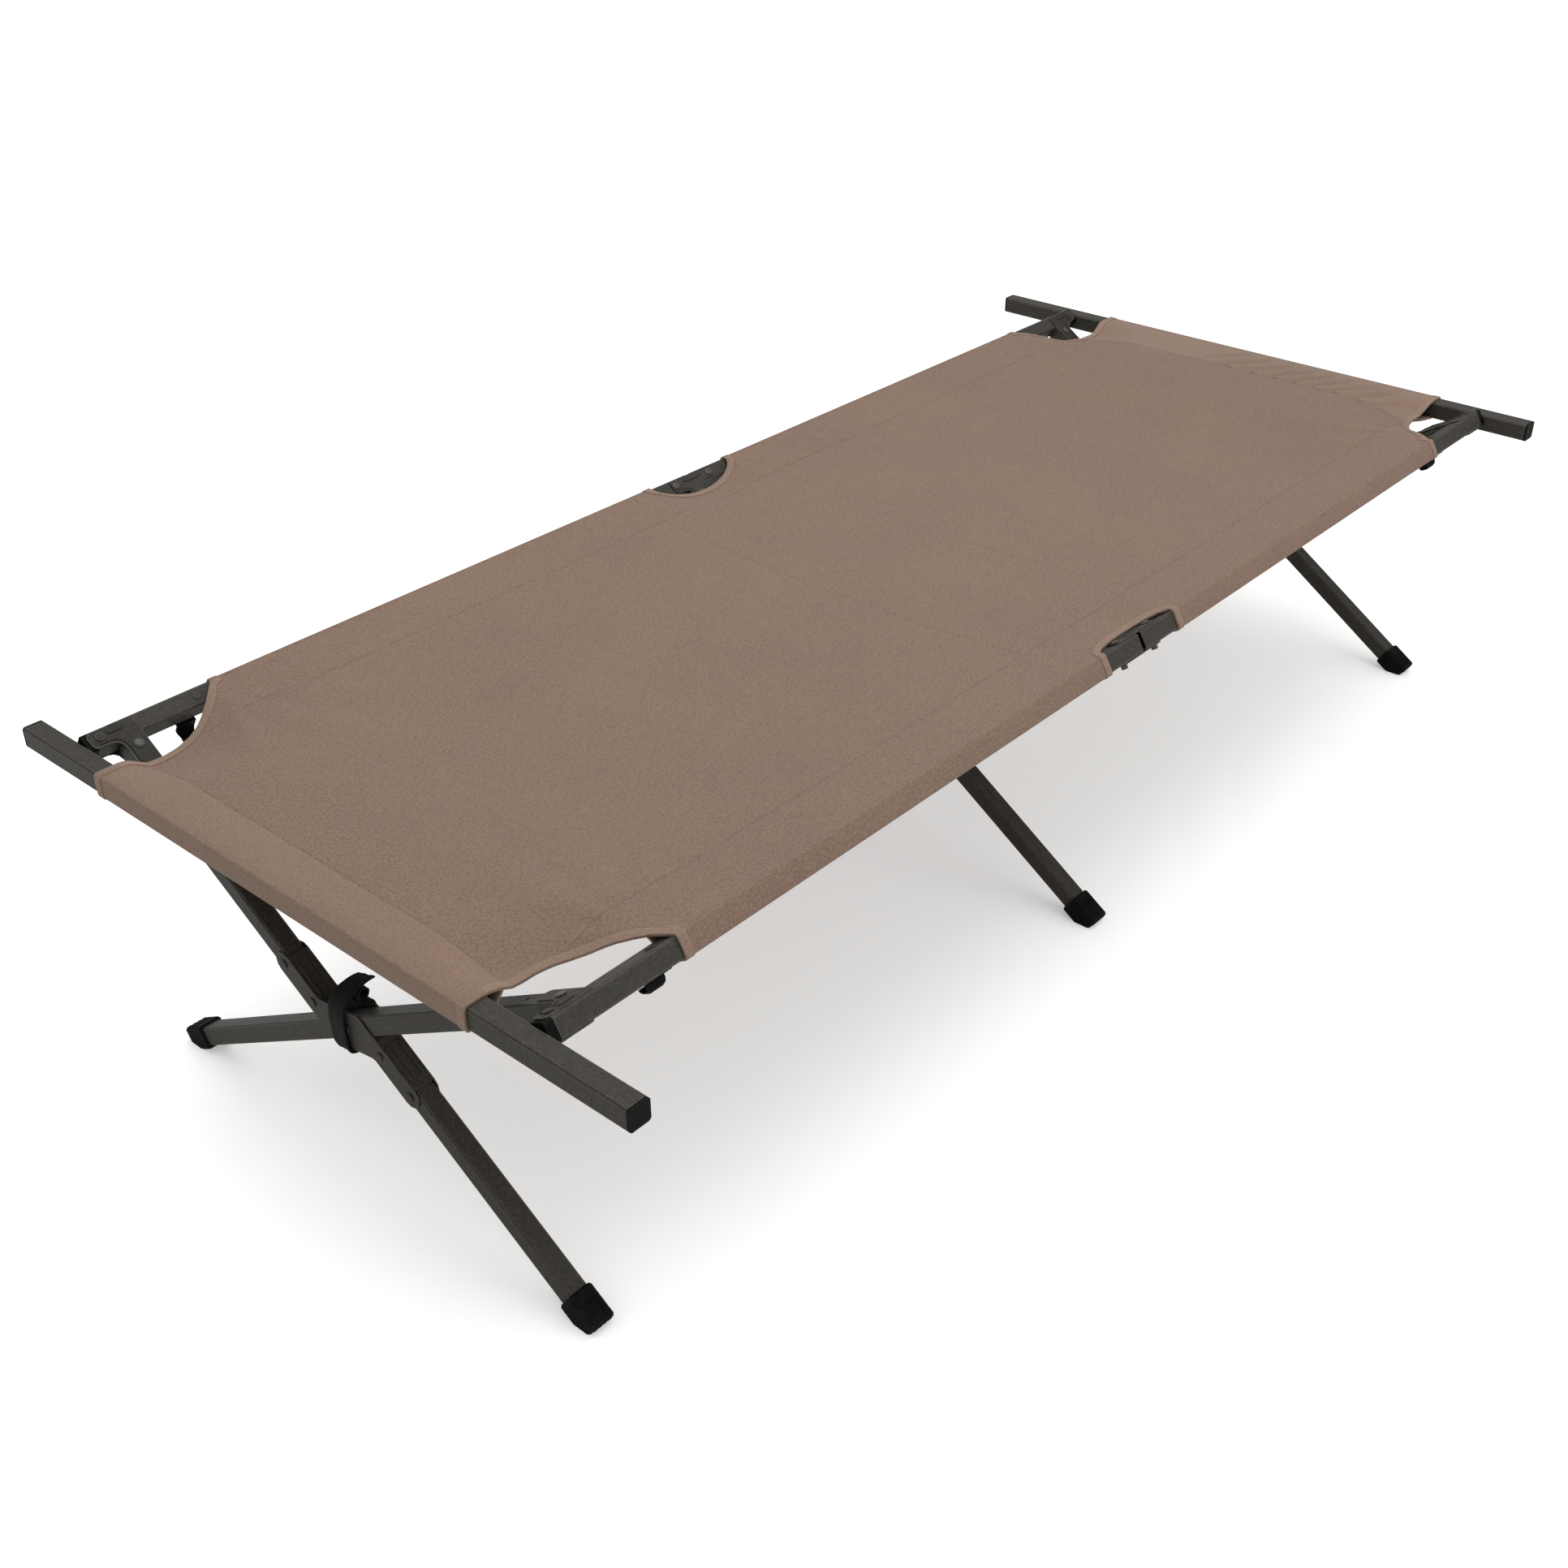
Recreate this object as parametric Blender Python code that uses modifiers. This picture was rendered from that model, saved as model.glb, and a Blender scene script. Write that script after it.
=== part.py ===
# Folding camping cot: two hinged steel side rails on three pairs of crossed legs,
# two loose end bars and one canvas bed with sewn sleeves. Metres, +Z up, X along the bed.
# The near end is at -X, the right side at -Y. The floor is z = 0.

import math

import bmesh
import bpy
from mathutils import Matrix, Vector

# Overall sizes
COT_LENGTH = 1.956
RAIL_Y = 0.3675
RAIL_Z = 0.4215
LEG_ANGLE = math.radians(30.4)

# Clearances
FIT = 0.0003
PIN_FIT = 0.0003
MID_GAP = 0.0075

# Square tube of rails and legs
TUBE = 0.024
TUBE_WALL = 0.0015
TUBE_CORNER = 0.0022

# End bars
BAR = 0.0254
BAR_WALL = 0.0015
BAR_CORNER = 0.0024
BAR_TUBE_LENGTH = 0.944
BAR_Z = 0.4175
BAR_SLIP = 0.027
CAP_HEAD = 0.003
CAP_SHANK = 0.016

# Rail plugs
PLUG_HEAD = 0.0105
PLUG_SHANK = 0.020

# Legs
LEG_INSET = 0.076
LEG_START_GAP = 0.0003
NECK_HOLE_S = 0.082
NECK_HOLE_R = 0.0025

# Stamped sheet brackets
SHEET = 0.0015
PLATE_TOP_S = -0.0095
PLATE_ARM_S = 0.0115
PLATE_LEG_S = 0.059
PLATE_ROUND = 0.006
LOWER_PLATE_CUT = 0.012
CORNER_ARM = 0.046
HINGE_ARM = 0.040
INNER_ROUND = 0.012
WALL_START_S = 0.014
WALL_END_S = 0.052

# Rivets and pins
RIVET_R = 0.0025
RIVET_HEAD_R = 0.0050
HEAD_HEIGHT = 0.0016
CORNER_RIVET_X = 0.033
HINGE_RIVET_X = 0.033
HINGE_RIVET_R = 0.0030
HINGE_HEAD_R = 0.0055
HINGE_TAIL = 0.0060
HINGE_TAIL_R = 0.0042
HINGE_TAIL_BORE = 0.0024
LEG_RIVET_S = 0.025
LEG_RIVET_R = 0.0030
LEG_HEAD_R = 0.0060
CROSS_PIN_R = 0.0040
CROSS_HEAD_R = 0.0070
CROSS_HEAD_HEIGHT = 0.0018

# Bracket that joins the upper and lower halves of a split leg
CROSS_REACH = 0.103
CROSS_INNER_RIVET = 0.050
CROSS_WEB_START = 0.038
CROSS_TUBE_START = 0.036
CROSS_SHOULDER = 0.046
CROSS_ROOT = 0.005
DOGLEG = TUBE + 2 * FIT

# Rubber feet
FOOT_WALL = 0.003
FOOT_LENGTH = 0.042
FOOT_SOLE = 0.027
FOOT_FLOOR_COVER = 0.003
FOOT_ROUND = 0.0025

# Leg hooks under the rails
RIGHT_HOOK_INSET = 0.090
LEFT_HOOK_INSET = 0.073
HOOK_WIDTH = 0.024
HOOK_SHEET = 0.0025
HOOK_BASE = 0.018
HOOK_DROP = 0.016
HOOK_REACH = 0.0155
HOOK_LIP = 0.007
HOOK_ROUND = 0.008
STUD_INSET = 0.090
STUD_R = 0.0045
STUD_HEIGHT = 0.0012

# Canvas
CANVAS = 0.0012
CANVAS_SAG = 0.020
SLEEVE_START_X = 0.083
SLEEVE_END_INSET = 0.134
SLEEVE_DEPTH = 0.078
STITCH_FLAT = 0.010
HEM_HALF_WIDTH = 0.298
HEM_DEPTH = 0.083
CORNER_CUT_END_INSET = 0.012
CORNER_CUT_POWER = 1.6
MID_CUT_DEPTH = 0.027
END_BLEND = 0.208

# Strap round the near crossing
STRAP_WIDTH = 0.025
STRAP_SHEET = 0.002
STRAP_HALF_HEIGHT = 0.0295
STRAP_LOOP_R = 0.010
STRAP_TAIL = 0.046
STRAP_TAIL_TILT = math.radians(38)

SIDES = 12
CORNER_STEPS = 1

# Worked out from the sizes above
HALF = TUBE / 2
BAR_X = COT_LENGTH / 2 - BAR / 2
BAR_INNER_X = BAR_X - BAR / 2
LEG_X = COT_LENGTH / 2 - LEG_INSET
RIGHT_HOOK_X = LEG_X - RIGHT_HOOK_INSET
LEFT_HOOK_X = LEG_X - LEFT_HOOK_INSET
STUD_X = LEG_X - STUD_INSET
SLEEVE_END_X = LEG_X - SLEEVE_END_INSET
CORNER_CUT_END_X = LEG_X - CORNER_CUT_END_INSET
END_BLEND_X = SLEEVE_END_X - END_BLEND
RAIL_END_X = BAR_INNER_X - FIT - PLUG_HEAD - FIT
PLATE_LOW = HALF + FIT
PLATE_HIGH = PLATE_LOW + SHEET
WALL_IN = HALF + FIT
WALL_OUT = WALL_IN + SHEET
LEG_START_S = HALF + LEG_START_GAP
PIVOT_Z = RAIL_Z - RAIL_Y * math.tan(LEG_ANGLE)
PIVOT_REACH = RAIL_Y / math.cos(LEG_ANGLE)
SPLIT_ANGLE = LEG_ANGLE + math.asin(DOGLEG / PIVOT_REACH)
SPLIT_S = math.sqrt(PIVOT_REACH**2 - DOGLEG**2)
FOOT_HALF = HALF + FIT + FOOT_WALL

RIGHT = -1
LEFT = 1
NEAR = -1
MIDDLE = 0
FAR = 1
END_NAMES = {NEAR: "near", MIDDLE: "middle", FAR: "far"}
SIDE_NAMES = {RIGHT: "right", LEFT: "left"}

# Turns of a mesh: its own Z to the object's X, or to the object's Y
Z_TO_X = Matrix(((0, 0, 1, 0), (1, 0, 0, 0), (0, 1, 0, 0), (0, 0, 0, 1)))
Z_TO_Y = Matrix(((0, 1, 0, 0), (0, 0, 1, 0), (1, 0, 0, 0), (0, 0, 0, 1)))


def clear_scene():
    for obj in list(bpy.data.objects):
        bpy.data.objects.remove(obj, do_unlink=True)


def new_collection(name):
    collection = bpy.data.collections.new(name)
    bpy.context.scene.collection.children.link(collection)
    return collection


def new_material(name, colour, roughness, metallic):
    material = bpy.data.materials.new(name)
    material.use_nodes = True
    shader = material.node_tree.nodes["Principled BSDF"]
    shader.inputs["Base Color"].default_value = (*colour, 1.0)
    shader.inputs["Roughness"].default_value = roughness
    shader.inputs["Metallic"].default_value = metallic
    return material


def rounded(corners, steps=3):
    """Closed outline through (x, y, radius) corners, with each corner as an arc."""
    points = []
    for i, (x, y, radius) in enumerate(corners):
        corner = Vector((x, y))
        if radius <= 0:
            points.append(corner)
            continue
        before = (Vector(corners[i - 1][:2]) - corner).normalized()
        after = (Vector(corners[(i + 1) % len(corners)][:2]) - corner).normalized()
        half_angle = before.angle(after) / 2
        centre = corner + (before + after).normalized() * radius / math.sin(half_angle)
        reach = radius / math.tan(half_angle)
        start = corner + before * reach - centre
        end = corner + after * reach - centre
        sweep = start.angle_signed(end)
        for k in range(steps + 1):
            turn = Matrix.Rotation(-sweep * k / steps, 2)
            points.append(centre + turn @ start)
    return points


def square_outline(half, corner, steps):
    return rounded(
        [(-half, -half, corner), (half, -half, corner), (half, half, corner), (-half, half, corner)],
        steps,
    )


def prism(outlines, depth, turn=None, move=(0, 0, 0)):
    """Mesh of flat outlines, the first one outside and the others holes, extruded about z = 0."""
    curve = bpy.data.curves.new("outline", "CURVE")
    curve.dimensions = "2D"
    curve.fill_mode = "BOTH"
    curve.extrude = depth / 2
    for outline in outlines:
        spline = curve.splines.new("POLY")
        spline.points.add(len(outline) - 1)
        for point, place in zip(spline.points, outline):
            point.co = (place[0], place[1], 0, 1)
        spline.use_cyclic_u = True
    holder = bpy.data.objects.new("outline", curve)
    bpy.context.scene.collection.objects.link(holder)
    graph = bpy.context.evaluated_depsgraph_get()
    mesh = bpy.data.meshes.new_from_object(holder.evaluated_get(graph))
    bpy.data.objects.remove(holder, do_unlink=True)
    shape = bmesh.new()
    shape.from_mesh(mesh)
    bmesh.ops.remove_doubles(shape, verts=shape.verts, dist=0.00001)
    bmesh.ops.recalc_face_normals(shape, faces=shape.faces)
    if turn is not None:
        bmesh.ops.transform(shape, matrix=turn, verts=shape.verts)
    bmesh.ops.translate(shape, vec=move, verts=shape.verts)
    shape.to_mesh(mesh)
    shape.free()
    mesh.materials.clear()
    return mesh


def box(low, high):
    """Mesh of a box between two corners."""
    low, high = Vector(low), Vector(high)
    shape = bmesh.new()
    bmesh.ops.create_cube(shape, size=1.0)
    bmesh.ops.scale(shape, vec=high - low, verts=shape.verts)
    bmesh.ops.translate(shape, vec=(high + low) / 2, verts=shape.verts)
    mesh = bpy.data.meshes.new("box")
    shape.to_mesh(mesh)
    shape.free()
    return mesh


def rods(places, axis):
    """Mesh of round rods: each place is a centre, a radius and a length along the axis."""
    turns = {"X": Z_TO_X, "Y": Z_TO_Y, "Z": Matrix.Identity(4)}
    shape = bmesh.new()
    for centre, radius, length in places:
        bmesh.ops.create_cone(
            shape,
            cap_ends=True,
            segments=SIDES,
            radius1=radius,
            radius2=radius,
            depth=length,
            matrix=Matrix.Translation(centre) @ turns[axis],
        )
    mesh = bpy.data.meshes.new("rods")
    shape.to_mesh(mesh)
    shape.free()
    return mesh


class Cot:
    """Keeps the collections, the materials and the empties that carry each side."""

    def __init__(self):
        self.parts = new_collection("camping_cot")
        self.helpers = new_collection("cutters")
        self.steel = new_material("hammered_steel", (0.062, 0.055, 0.046), 0.55, 0.6)
        self.rivet = new_material("rivet_steel", (0.10, 0.095, 0.085), 0.45, 0.8)
        self.black = new_material("black_plastic", (0.012, 0.012, 0.012), 0.5, 0.0)
        self.rubber = new_material("black_rubber", (0.015, 0.015, 0.014), 0.75, 0.0)
        self.cloth = new_material("taupe_canvas", (0.29, 0.205, 0.155), 0.9, 0.0)
        self.webbing = new_material("black_webbing", (0.01, 0.01, 0.01), 0.85, 0.0)
        self.right = self.empty("right_side", (0, -RAIL_Y, RAIL_Z), (-LEG_ANGLE, 0, 0))
        self.left_pivot = self.empty("left_frame_pivot", (0, 0, PIVOT_Z), (0, 0, 0))
        left_place = (0, RAIL_Y, RAIL_Z - PIVOT_Z)
        self.left = self.empty(
            "left_side", left_place, (-SPLIT_ANGLE, 0, math.pi), self.left_pivot
        )

    def empty(self, name, place, turn, parent=None):
        obj = bpy.data.objects.new(name, None)
        obj.location = place
        obj.rotation_euler = turn
        obj.parent = parent
        obj.empty_display_size = 0.05
        self.parts.objects.link(obj)
        return obj

    def side(self, side):
        return self.right if side == RIGHT else self.left

    def add(self, name, mesh, material, parent=None, place=(0, 0, 0), turn=(0, 0, 0)):
        mesh.name = name
        mesh.materials.clear()
        mesh.materials.append(material)
        obj = bpy.data.objects.new(name, mesh)
        obj.location = place
        obj.rotation_euler = turn
        obj.parent = parent
        self.parts.objects.link(obj)
        return obj

    def combine(self, obj, mesh, operation):
        """Cut a helper mesh, given in the object's own axes, out of it or fuse it on."""
        helper = bpy.data.objects.new(f"{obj.name}_{operation.lower()}", mesh)
        helper.parent = obj.parent
        helper.location = obj.location
        helper.rotation_euler = obj.rotation_euler
        helper.hide_render = True
        helper.display_type = "WIRE"
        self.helpers.objects.link(helper)
        modifier = obj.modifiers.new(operation.title(), "BOOLEAN")
        modifier.operation = operation
        modifier.solver = "EXACT"
        modifier.object = helper
        return obj

    def cut(self, obj, mesh):
        return self.combine(obj, mesh, "DIFFERENCE")

    def fuse(self, obj, mesh):
        return self.combine(obj, mesh, "UNION")


def square_tube_mesh(half, wall, corner, low, high, turn):
    """Hollow square tube from low to high along the axis that turn gives."""
    outer = square_outline(half, corner, CORNER_STEPS)
    inner = square_outline(half - wall, 0, CORNER_STEPS)
    along = turn @ Vector((0, 0, (low + high) / 2))
    return prism([outer, inner], high - low, turn, along)


def outward(side, end):
    """Sign of the local X that points out of the bed at an end of a side."""
    return end if side == RIGHT else -end


def turned(cot, name, profile, material, parent, place, turn=(0, 0, 0)):
    """Round piece from (radius, height) points that run down its outer side."""
    mesh = bpy.data.meshes.new(name)
    edges = [(i, i + 1) for i in range(len(profile) - 1)]
    mesh.from_pydata([(radius, 0, height) for radius, height in profile], edges, [])
    obj = cot.add(name, mesh, material, parent, place, turn)
    screw = obj.modifiers.new("Turn", "SCREW")
    screw.axis = "Z"
    screw.steps = SIDES
    screw.render_steps = SIDES
    screw.use_merge_vertices = True
    screw.merge_threshold = 0.00001
    return obj


def rivet_profile(radius, head, low, high, height):
    """Rivet with a low domed head at each end of a shank from low to high."""
    dome = head * 0.62
    return [
        (0, high + height),
        (dome, high + height),
        (head, high + height * 0.4),
        (head, high),
        (radius, high),
        (radius, low),
        (head, low),
        (head, low - height * 0.4),
        (dome, low - height),
        (0, low - height),
    ]


def build_rails(cot):
    for side in (RIGHT, LEFT):
        for end in (NEAR, FAR):
            out = outward(side, end)
            name = f"{SIDE_NAMES[side]}_rail_{END_NAMES[end]}"
            low, high = sorted((out * MID_GAP / 2, out * RAIL_END_X))
            mesh = square_tube_mesh(HALF, TUBE_WALL, TUBE_CORNER, low, high, Z_TO_X)
            rail = cot.add(name, mesh, cot.steel, cot.side(side))
            through = 2 * TUBE
            holes = [
                ((out * HINGE_RIVET_X, 0, 0), HINGE_RIVET_R + PIN_FIT, through),
                ((out * (LEG_X + CORNER_RIVET_X), 0, 0), RIVET_R + PIN_FIT, through),
            ]
            cot.cut(rail, rods(holes, "Z"))
            sunk = TUBE_WALL / 2
            stud_height = STUD_HEIGHT + sunk
            stud_place = (out * STUD_X, 0, HALF - sunk + stud_height / 2)
            cot.fuse(rail, rods([(stud_place, STUD_R, stud_height)], "Z"))


def build_rail_plugs(cot):
    core = HALF - TUBE_WALL - FIT
    for side in (RIGHT, LEFT):
        for end in (NEAR, FAR):
            out = outward(side, end)
            name = f"{SIDE_NAMES[side]}_rail_plug_{END_NAMES[end]}"
            start = RAIL_END_X + FIT
            low, high = sorted((out * start, out * (start + PLUG_HEAD)))
            section = square_outline(HALF, TUBE_CORNER, CORNER_STEPS)
            mesh = prism([section], high - low, Z_TO_X, ((low + high) / 2, 0, 0))
            plug = cot.add(name, mesh, cot.black, cot.side(side))
            inner, outer = sorted((out * (start - PLUG_SHANK), out * (start + PLUG_HEAD / 2)))
            cot.fuse(plug, box((inner, -core, -core), (outer, core, core)))
            rivet_x = out * (LEG_X + CORNER_RIVET_X)
            cot.cut(plug, rods([((rivet_x, 0, 0), RIVET_R + PIN_FIT, 2 * TUBE)], "Z"))


def corner_plate_outline(out, cut):
    """Gusset at a rail end: one arm out along the rail, one arm down the leg."""
    inner = -WALL_IN
    corners = [
        (inner, PLATE_ARM_S + cut, PLATE_ROUND),
        (inner + cut, PLATE_TOP_S, PLATE_ROUND),
        (CORNER_ARM, PLATE_TOP_S, PLATE_ROUND),
        (CORNER_ARM, PLATE_ARM_S, PLATE_ROUND),
        (WALL_OUT, PLATE_ARM_S, INNER_ROUND),
        (WALL_OUT, WALL_END_S, 0),
        (WALL_OUT - PLATE_ROUND, PLATE_LEG_S, PLATE_ROUND / 2),
        (inner, PLATE_LEG_S, PLATE_ROUND),
    ]
    if cut == 0:
        del corners[0]
    centre = out * LEG_X
    return [(centre + out * x, s) for x, s in rounded(corners)]


def hinge_plate_outline(out):
    """T plate over the joint of the two rail halves, with its stem down the middle leg."""
    inner = -WALL_IN
    corners = [
        (-HINGE_ARM, PLATE_TOP_S, PLATE_ROUND),
        (HINGE_ARM, PLATE_TOP_S, PLATE_ROUND),
        (HINGE_ARM, PLATE_ARM_S, PLATE_ROUND),
        (WALL_OUT, PLATE_ARM_S, INNER_ROUND),
        (WALL_OUT, WALL_END_S, 0),
        (WALL_OUT - PLATE_ROUND, PLATE_LEG_S, PLATE_ROUND / 2),
        (inner, PLATE_LEG_S, PLATE_ROUND),
        (inner, PLATE_ARM_S, INNER_ROUND),
        (-HINGE_ARM, PLATE_ARM_S, PLATE_ROUND),
    ]
    return [(out * x, s) for x, s in rounded(corners)]


def folded_bracket(cot, name, side, top, bottom, wall_x, out):
    """Plates over and under the tubes, joined by a wall beside the leg."""
    middle = (PLATE_LOW + PLATE_HIGH) / 2
    bracket = cot.add(name, prism([top], SHEET, None, (0, 0, middle)), cot.steel, cot.side(side))
    cot.fuse(bracket, prism([bottom], SHEET, None, (0, 0, -middle)))
    low, high = sorted((wall_x + out * WALL_IN, wall_x + out * WALL_OUT))
    cot.fuse(bracket, box((low, WALL_START_S, -PLATE_HIGH), (high, WALL_END_S, PLATE_HIGH)))
    return bracket


def build_corner_brackets(cot):
    through = 2 * (PLATE_HIGH + HEAD_HEIGHT)
    for side in (RIGHT, LEFT):
        for end in (NEAR, FAR):
            out = outward(side, end)
            name = f"{SIDE_NAMES[side]}_corner_bracket_{END_NAMES[end]}"
            centre = out * LEG_X
            top = corner_plate_outline(out, 0)
            bottom = corner_plate_outline(out, LOWER_PLATE_CUT)
            bracket = folded_bracket(cot, name, side, top, bottom, centre, out)
            rivet_x = centre + out * CORNER_RIVET_X
            shank = 2 * PLATE_HIGH + HEAD_HEIGHT
            cot.fuse(bracket, rods([((rivet_x, 0, 0), RIVET_R, shank)], "Z"))
            head_z = PLATE_HIGH + (HEAD_HEIGHT - SHEET / 2) / 2
            head_height = HEAD_HEIGHT + SHEET / 2
            heads = [
                ((rivet_x, 0, level * head_z), RIVET_HEAD_R, head_height) for level in (-1, 1)
            ]
            cot.fuse(bracket, rods(heads, "Z"))
            leg_hole = [((centre, LEG_RIVET_S, 0), LEG_RIVET_R + PIN_FIT, through)]
            cot.cut(bracket, rods(leg_hole, "Z"))


def build_hinge_brackets(cot):
    through = 4 * PLATE_HIGH
    for side in (RIGHT, LEFT):
        out = outward(side, NEAR)
        name = f"{SIDE_NAMES[side]}_hinge_bracket"
        plate = hinge_plate_outline(out)
        bracket = folded_bracket(cot, name, side, plate, plate, 0.0, out)
        holes = [((sign * HINGE_RIVET_X, 0, 0), HINGE_RIVET_R + PIN_FIT, through) for sign in (-1, 1)]
        holes.append(((0, LEG_RIVET_S, 0), LEG_RIVET_R + PIN_FIT, through))
        cot.cut(bracket, rods(holes, "Z"))


def build_hinge_rivets(cot):
    top = PLATE_HIGH + FIT
    low = -top
    tail = low - HINGE_TAIL
    profile = [
        (0, top + HEAD_HEIGHT),
        (HINGE_HEAD_R * 0.62, top + HEAD_HEIGHT),
        (HINGE_HEAD_R, top + HEAD_HEIGHT * 0.4),
        (HINGE_HEAD_R, top),
        (HINGE_RIVET_R, top),
        (HINGE_RIVET_R, low),
        (HINGE_TAIL_R, low),
        (HINGE_TAIL_R, tail),
        (HINGE_TAIL_BORE, tail),
        (HINGE_TAIL_BORE, low - HINGE_TAIL * 0.15),
        (0, low - HINGE_TAIL * 0.15),
    ]
    for side in (RIGHT, LEFT):
        for end in (NEAR, FAR):
            name = f"{SIDE_NAMES[side]}_hinge_rivet_{END_NAMES[end]}"
            place = (outward(side, end) * HINGE_RIVET_X, 0, 0)
            turned(cot, name, profile, cot.rivet, cot.side(side), place)


def build_leg_rivets(cot):
    top = PLATE_HIGH + FIT
    profile = rivet_profile(LEG_RIVET_R, LEG_HEAD_R, -top, top, HEAD_HEIGHT)
    for side in (RIGHT, LEFT):
        for end in (NEAR, MIDDLE, FAR):
            name = f"{SIDE_NAMES[side]}_leg_rivet_{END_NAMES[end]}"
            place = (outward(side, end) * LEG_X, LEG_RIVET_S, 0)
            turned(cot, name, profile, cot.rivet, cot.side(side), place)


def leg_end_s(angle, axis_height):
    """Where a leg tube ends, clear of the floor by the rubber under its lower corner."""
    return (axis_height - HALF * math.cos(angle) - FOOT_FLOOR_COVER) / math.sin(angle)


def foot_front_s(angle, axis_height):
    """Front of a foot, where its sole has the wanted length along the floor."""
    meets_floor = -FOOT_HALF + FOOT_SOLE * math.sin(angle)
    return (axis_height + meets_floor * math.cos(angle)) / math.sin(angle)


def lower_axis_height():
    """Height, over the floor, of a split leg's lower axis carried back to the rail."""
    return RAIL_Z + 2 * DOGLEG * math.cos(SPLIT_ANGLE)


def leg_tube(cot, name, side, x, height, low, high):
    mesh = square_tube_mesh(HALF, TUBE_WALL, TUBE_CORNER, low, high, Z_TO_Y)
    return cot.add(name, mesh, cot.steel, cot.side(side), (x, 0, height))


def build_straight_legs(cot):
    through = 2 * TUBE
    end_s = leg_end_s(LEG_ANGLE, RAIL_Z)
    for end in (NEAR, MIDDLE, FAR):
        x = outward(RIGHT, end) * LEG_X
        name = f"straight_leg_{END_NAMES[end]}"
        leg = leg_tube(cot, name, RIGHT, x, 0, LEG_START_S, end_s)
        upright = [((0, LEG_RIVET_S, 0), LEG_RIVET_R + PIN_FIT, through)]
        upright.append(((0, NECK_HOLE_S, 0), NECK_HOLE_R, through))
        cot.cut(leg, rods(upright, "Z"))
        cot.cut(leg, rods([((0, PIVOT_REACH, 0), CROSS_PIN_R + PIN_FIT, through)], "X"))


def build_split_legs(cot):
    through = 2 * TUBE
    end_s = leg_end_s(SPLIT_ANGLE, lower_axis_height())
    rivet_r = RIVET_R + PIN_FIT
    for end in (NEAR, MIDDLE, FAR):
        x = outward(LEFT, end) * LEG_X
        upper = leg_tube(
            cot, f"split_leg_upper_{END_NAMES[end]}", LEFT, x, 0, LEG_START_S, SPLIT_S - CROSS_TUBE_START
        )
        upright = [((0, LEG_RIVET_S, 0), LEG_RIVET_R + PIN_FIT, through)]
        upright.append(((0, NECK_HOLE_S, 0), NECK_HOLE_R, through))
        cot.cut(upper, rods(upright, "Z"))
        level = [
            ((0, SPLIT_S - reach, 0), rivet_r, through) for reach in (CROSS_REACH, CROSS_INNER_RIVET)
        ]
        cot.cut(upper, rods(level, "X"))
        lower = leg_tube(
            cot,
            f"split_leg_lower_{END_NAMES[end]}",
            LEFT,
            x,
            2 * DOGLEG,
            SPLIT_S + CROSS_TUBE_START,
            end_s,
        )
        level = [
            ((0, SPLIT_S + reach, 0), rivet_r, through) for reach in (CROSS_REACH, CROSS_INNER_RIVET)
        ]
        cot.cut(lower, rods(level, "X"))


def cross_flange_outline():
    """Side flange of the split leg's bracket in (height, distance) about the crossing pin."""
    edge = DOGLEG - PLATE_HIGH
    rim = DOGLEG + PLATE_HIGH
    end = CROSS_REACH + PLATE_HIGH
    large = PLATE_HIGH * 0.98
    fillet = 0.012
    corners = [
        (-edge, -end, large),
        (-edge, -CROSS_SHOULDER, fillet),
        (rim, CROSS_ROOT, fillet),
        (rim, end, large),
        (edge, end, large),
        (edge, CROSS_SHOULDER, fillet),
        (-rim, -CROSS_ROOT, fillet),
        (-rim, -end, large),
    ]
    return rounded(corners)


def build_cross_brackets(cot):
    """Channel that steps a split leg over the straight leg, with its rivets fused in."""
    flange_x = (WALL_IN + WALL_OUT) / 2
    rivet_length = 2 * WALL_OUT + HEAD_HEIGHT
    for end in (NEAR, MIDDLE, FAR):
        name = f"cross_bracket_{END_NAMES[end]}"
        place = (outward(LEFT, end) * LEG_X, SPLIT_S, DOGLEG)
        outline = [(distance, height) for height, distance in cross_flange_outline()]
        flat = Matrix(((0, 0, 1, 0), (1, 0, 0, 0), (0, 1, 0, 0), (0, 0, 0, 1)))
        mesh = prism([outline], SHEET, flat, (flange_x, 0, 0))
        bracket = cot.add(name, mesh, cot.steel, cot.left, place)
        cot.fuse(bracket, prism([outline], SHEET, flat, (-flange_x, 0, 0)))
        web_end = CROSS_REACH
        for sign in (-1, 1):
            low, high = sorted((sign * CROSS_WEB_START, sign * web_end))
            level = sign * DOGLEG
            cot.fuse(
                bracket,
                box(
                    (-WALL_OUT, low, level + PLATE_LOW),
                    (WALL_OUT, high, level + PLATE_HIGH),
                ),
            )
        shanks = []
        heads = []
        head_height = HEAD_HEIGHT + SHEET / 2
        head_x = WALL_OUT + (HEAD_HEIGHT - SHEET / 2) / 2
        for sign in (-1, 1):
            for reach in (CROSS_REACH, CROSS_INNER_RIVET):
                centre = Vector((0, sign * reach, sign * DOGLEG))
                shanks.append((centre, RIVET_R, rivet_length))
                for face in (-1, 1):
                    heads.append((centre + Vector((face * head_x, 0, 0)), RIVET_HEAD_R, head_height))
        cot.fuse(bracket, rods(heads, "X"))
        cot.fuse(bracket, rods(shanks, "X"))
        cot.cut(bracket, rods([((0, 0, 0), CROSS_PIN_R + PIN_FIT, 4 * WALL_OUT)], "X"))


def build_cross_pins(cot):
    reach = WALL_OUT + FIT
    profile = rivet_profile(CROSS_PIN_R, CROSS_HEAD_R, -reach, reach, CROSS_HEAD_HEIGHT)
    for end in (NEAR, MIDDLE, FAR):
        name = f"cross_pin_{END_NAMES[end]}"
        place = (outward(RIGHT, end) * LEG_X, PIVOT_REACH, 0)
        turned(cot, name, profile, cot.rivet, cot.right, place, (0, math.pi / 2, 0))


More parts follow.
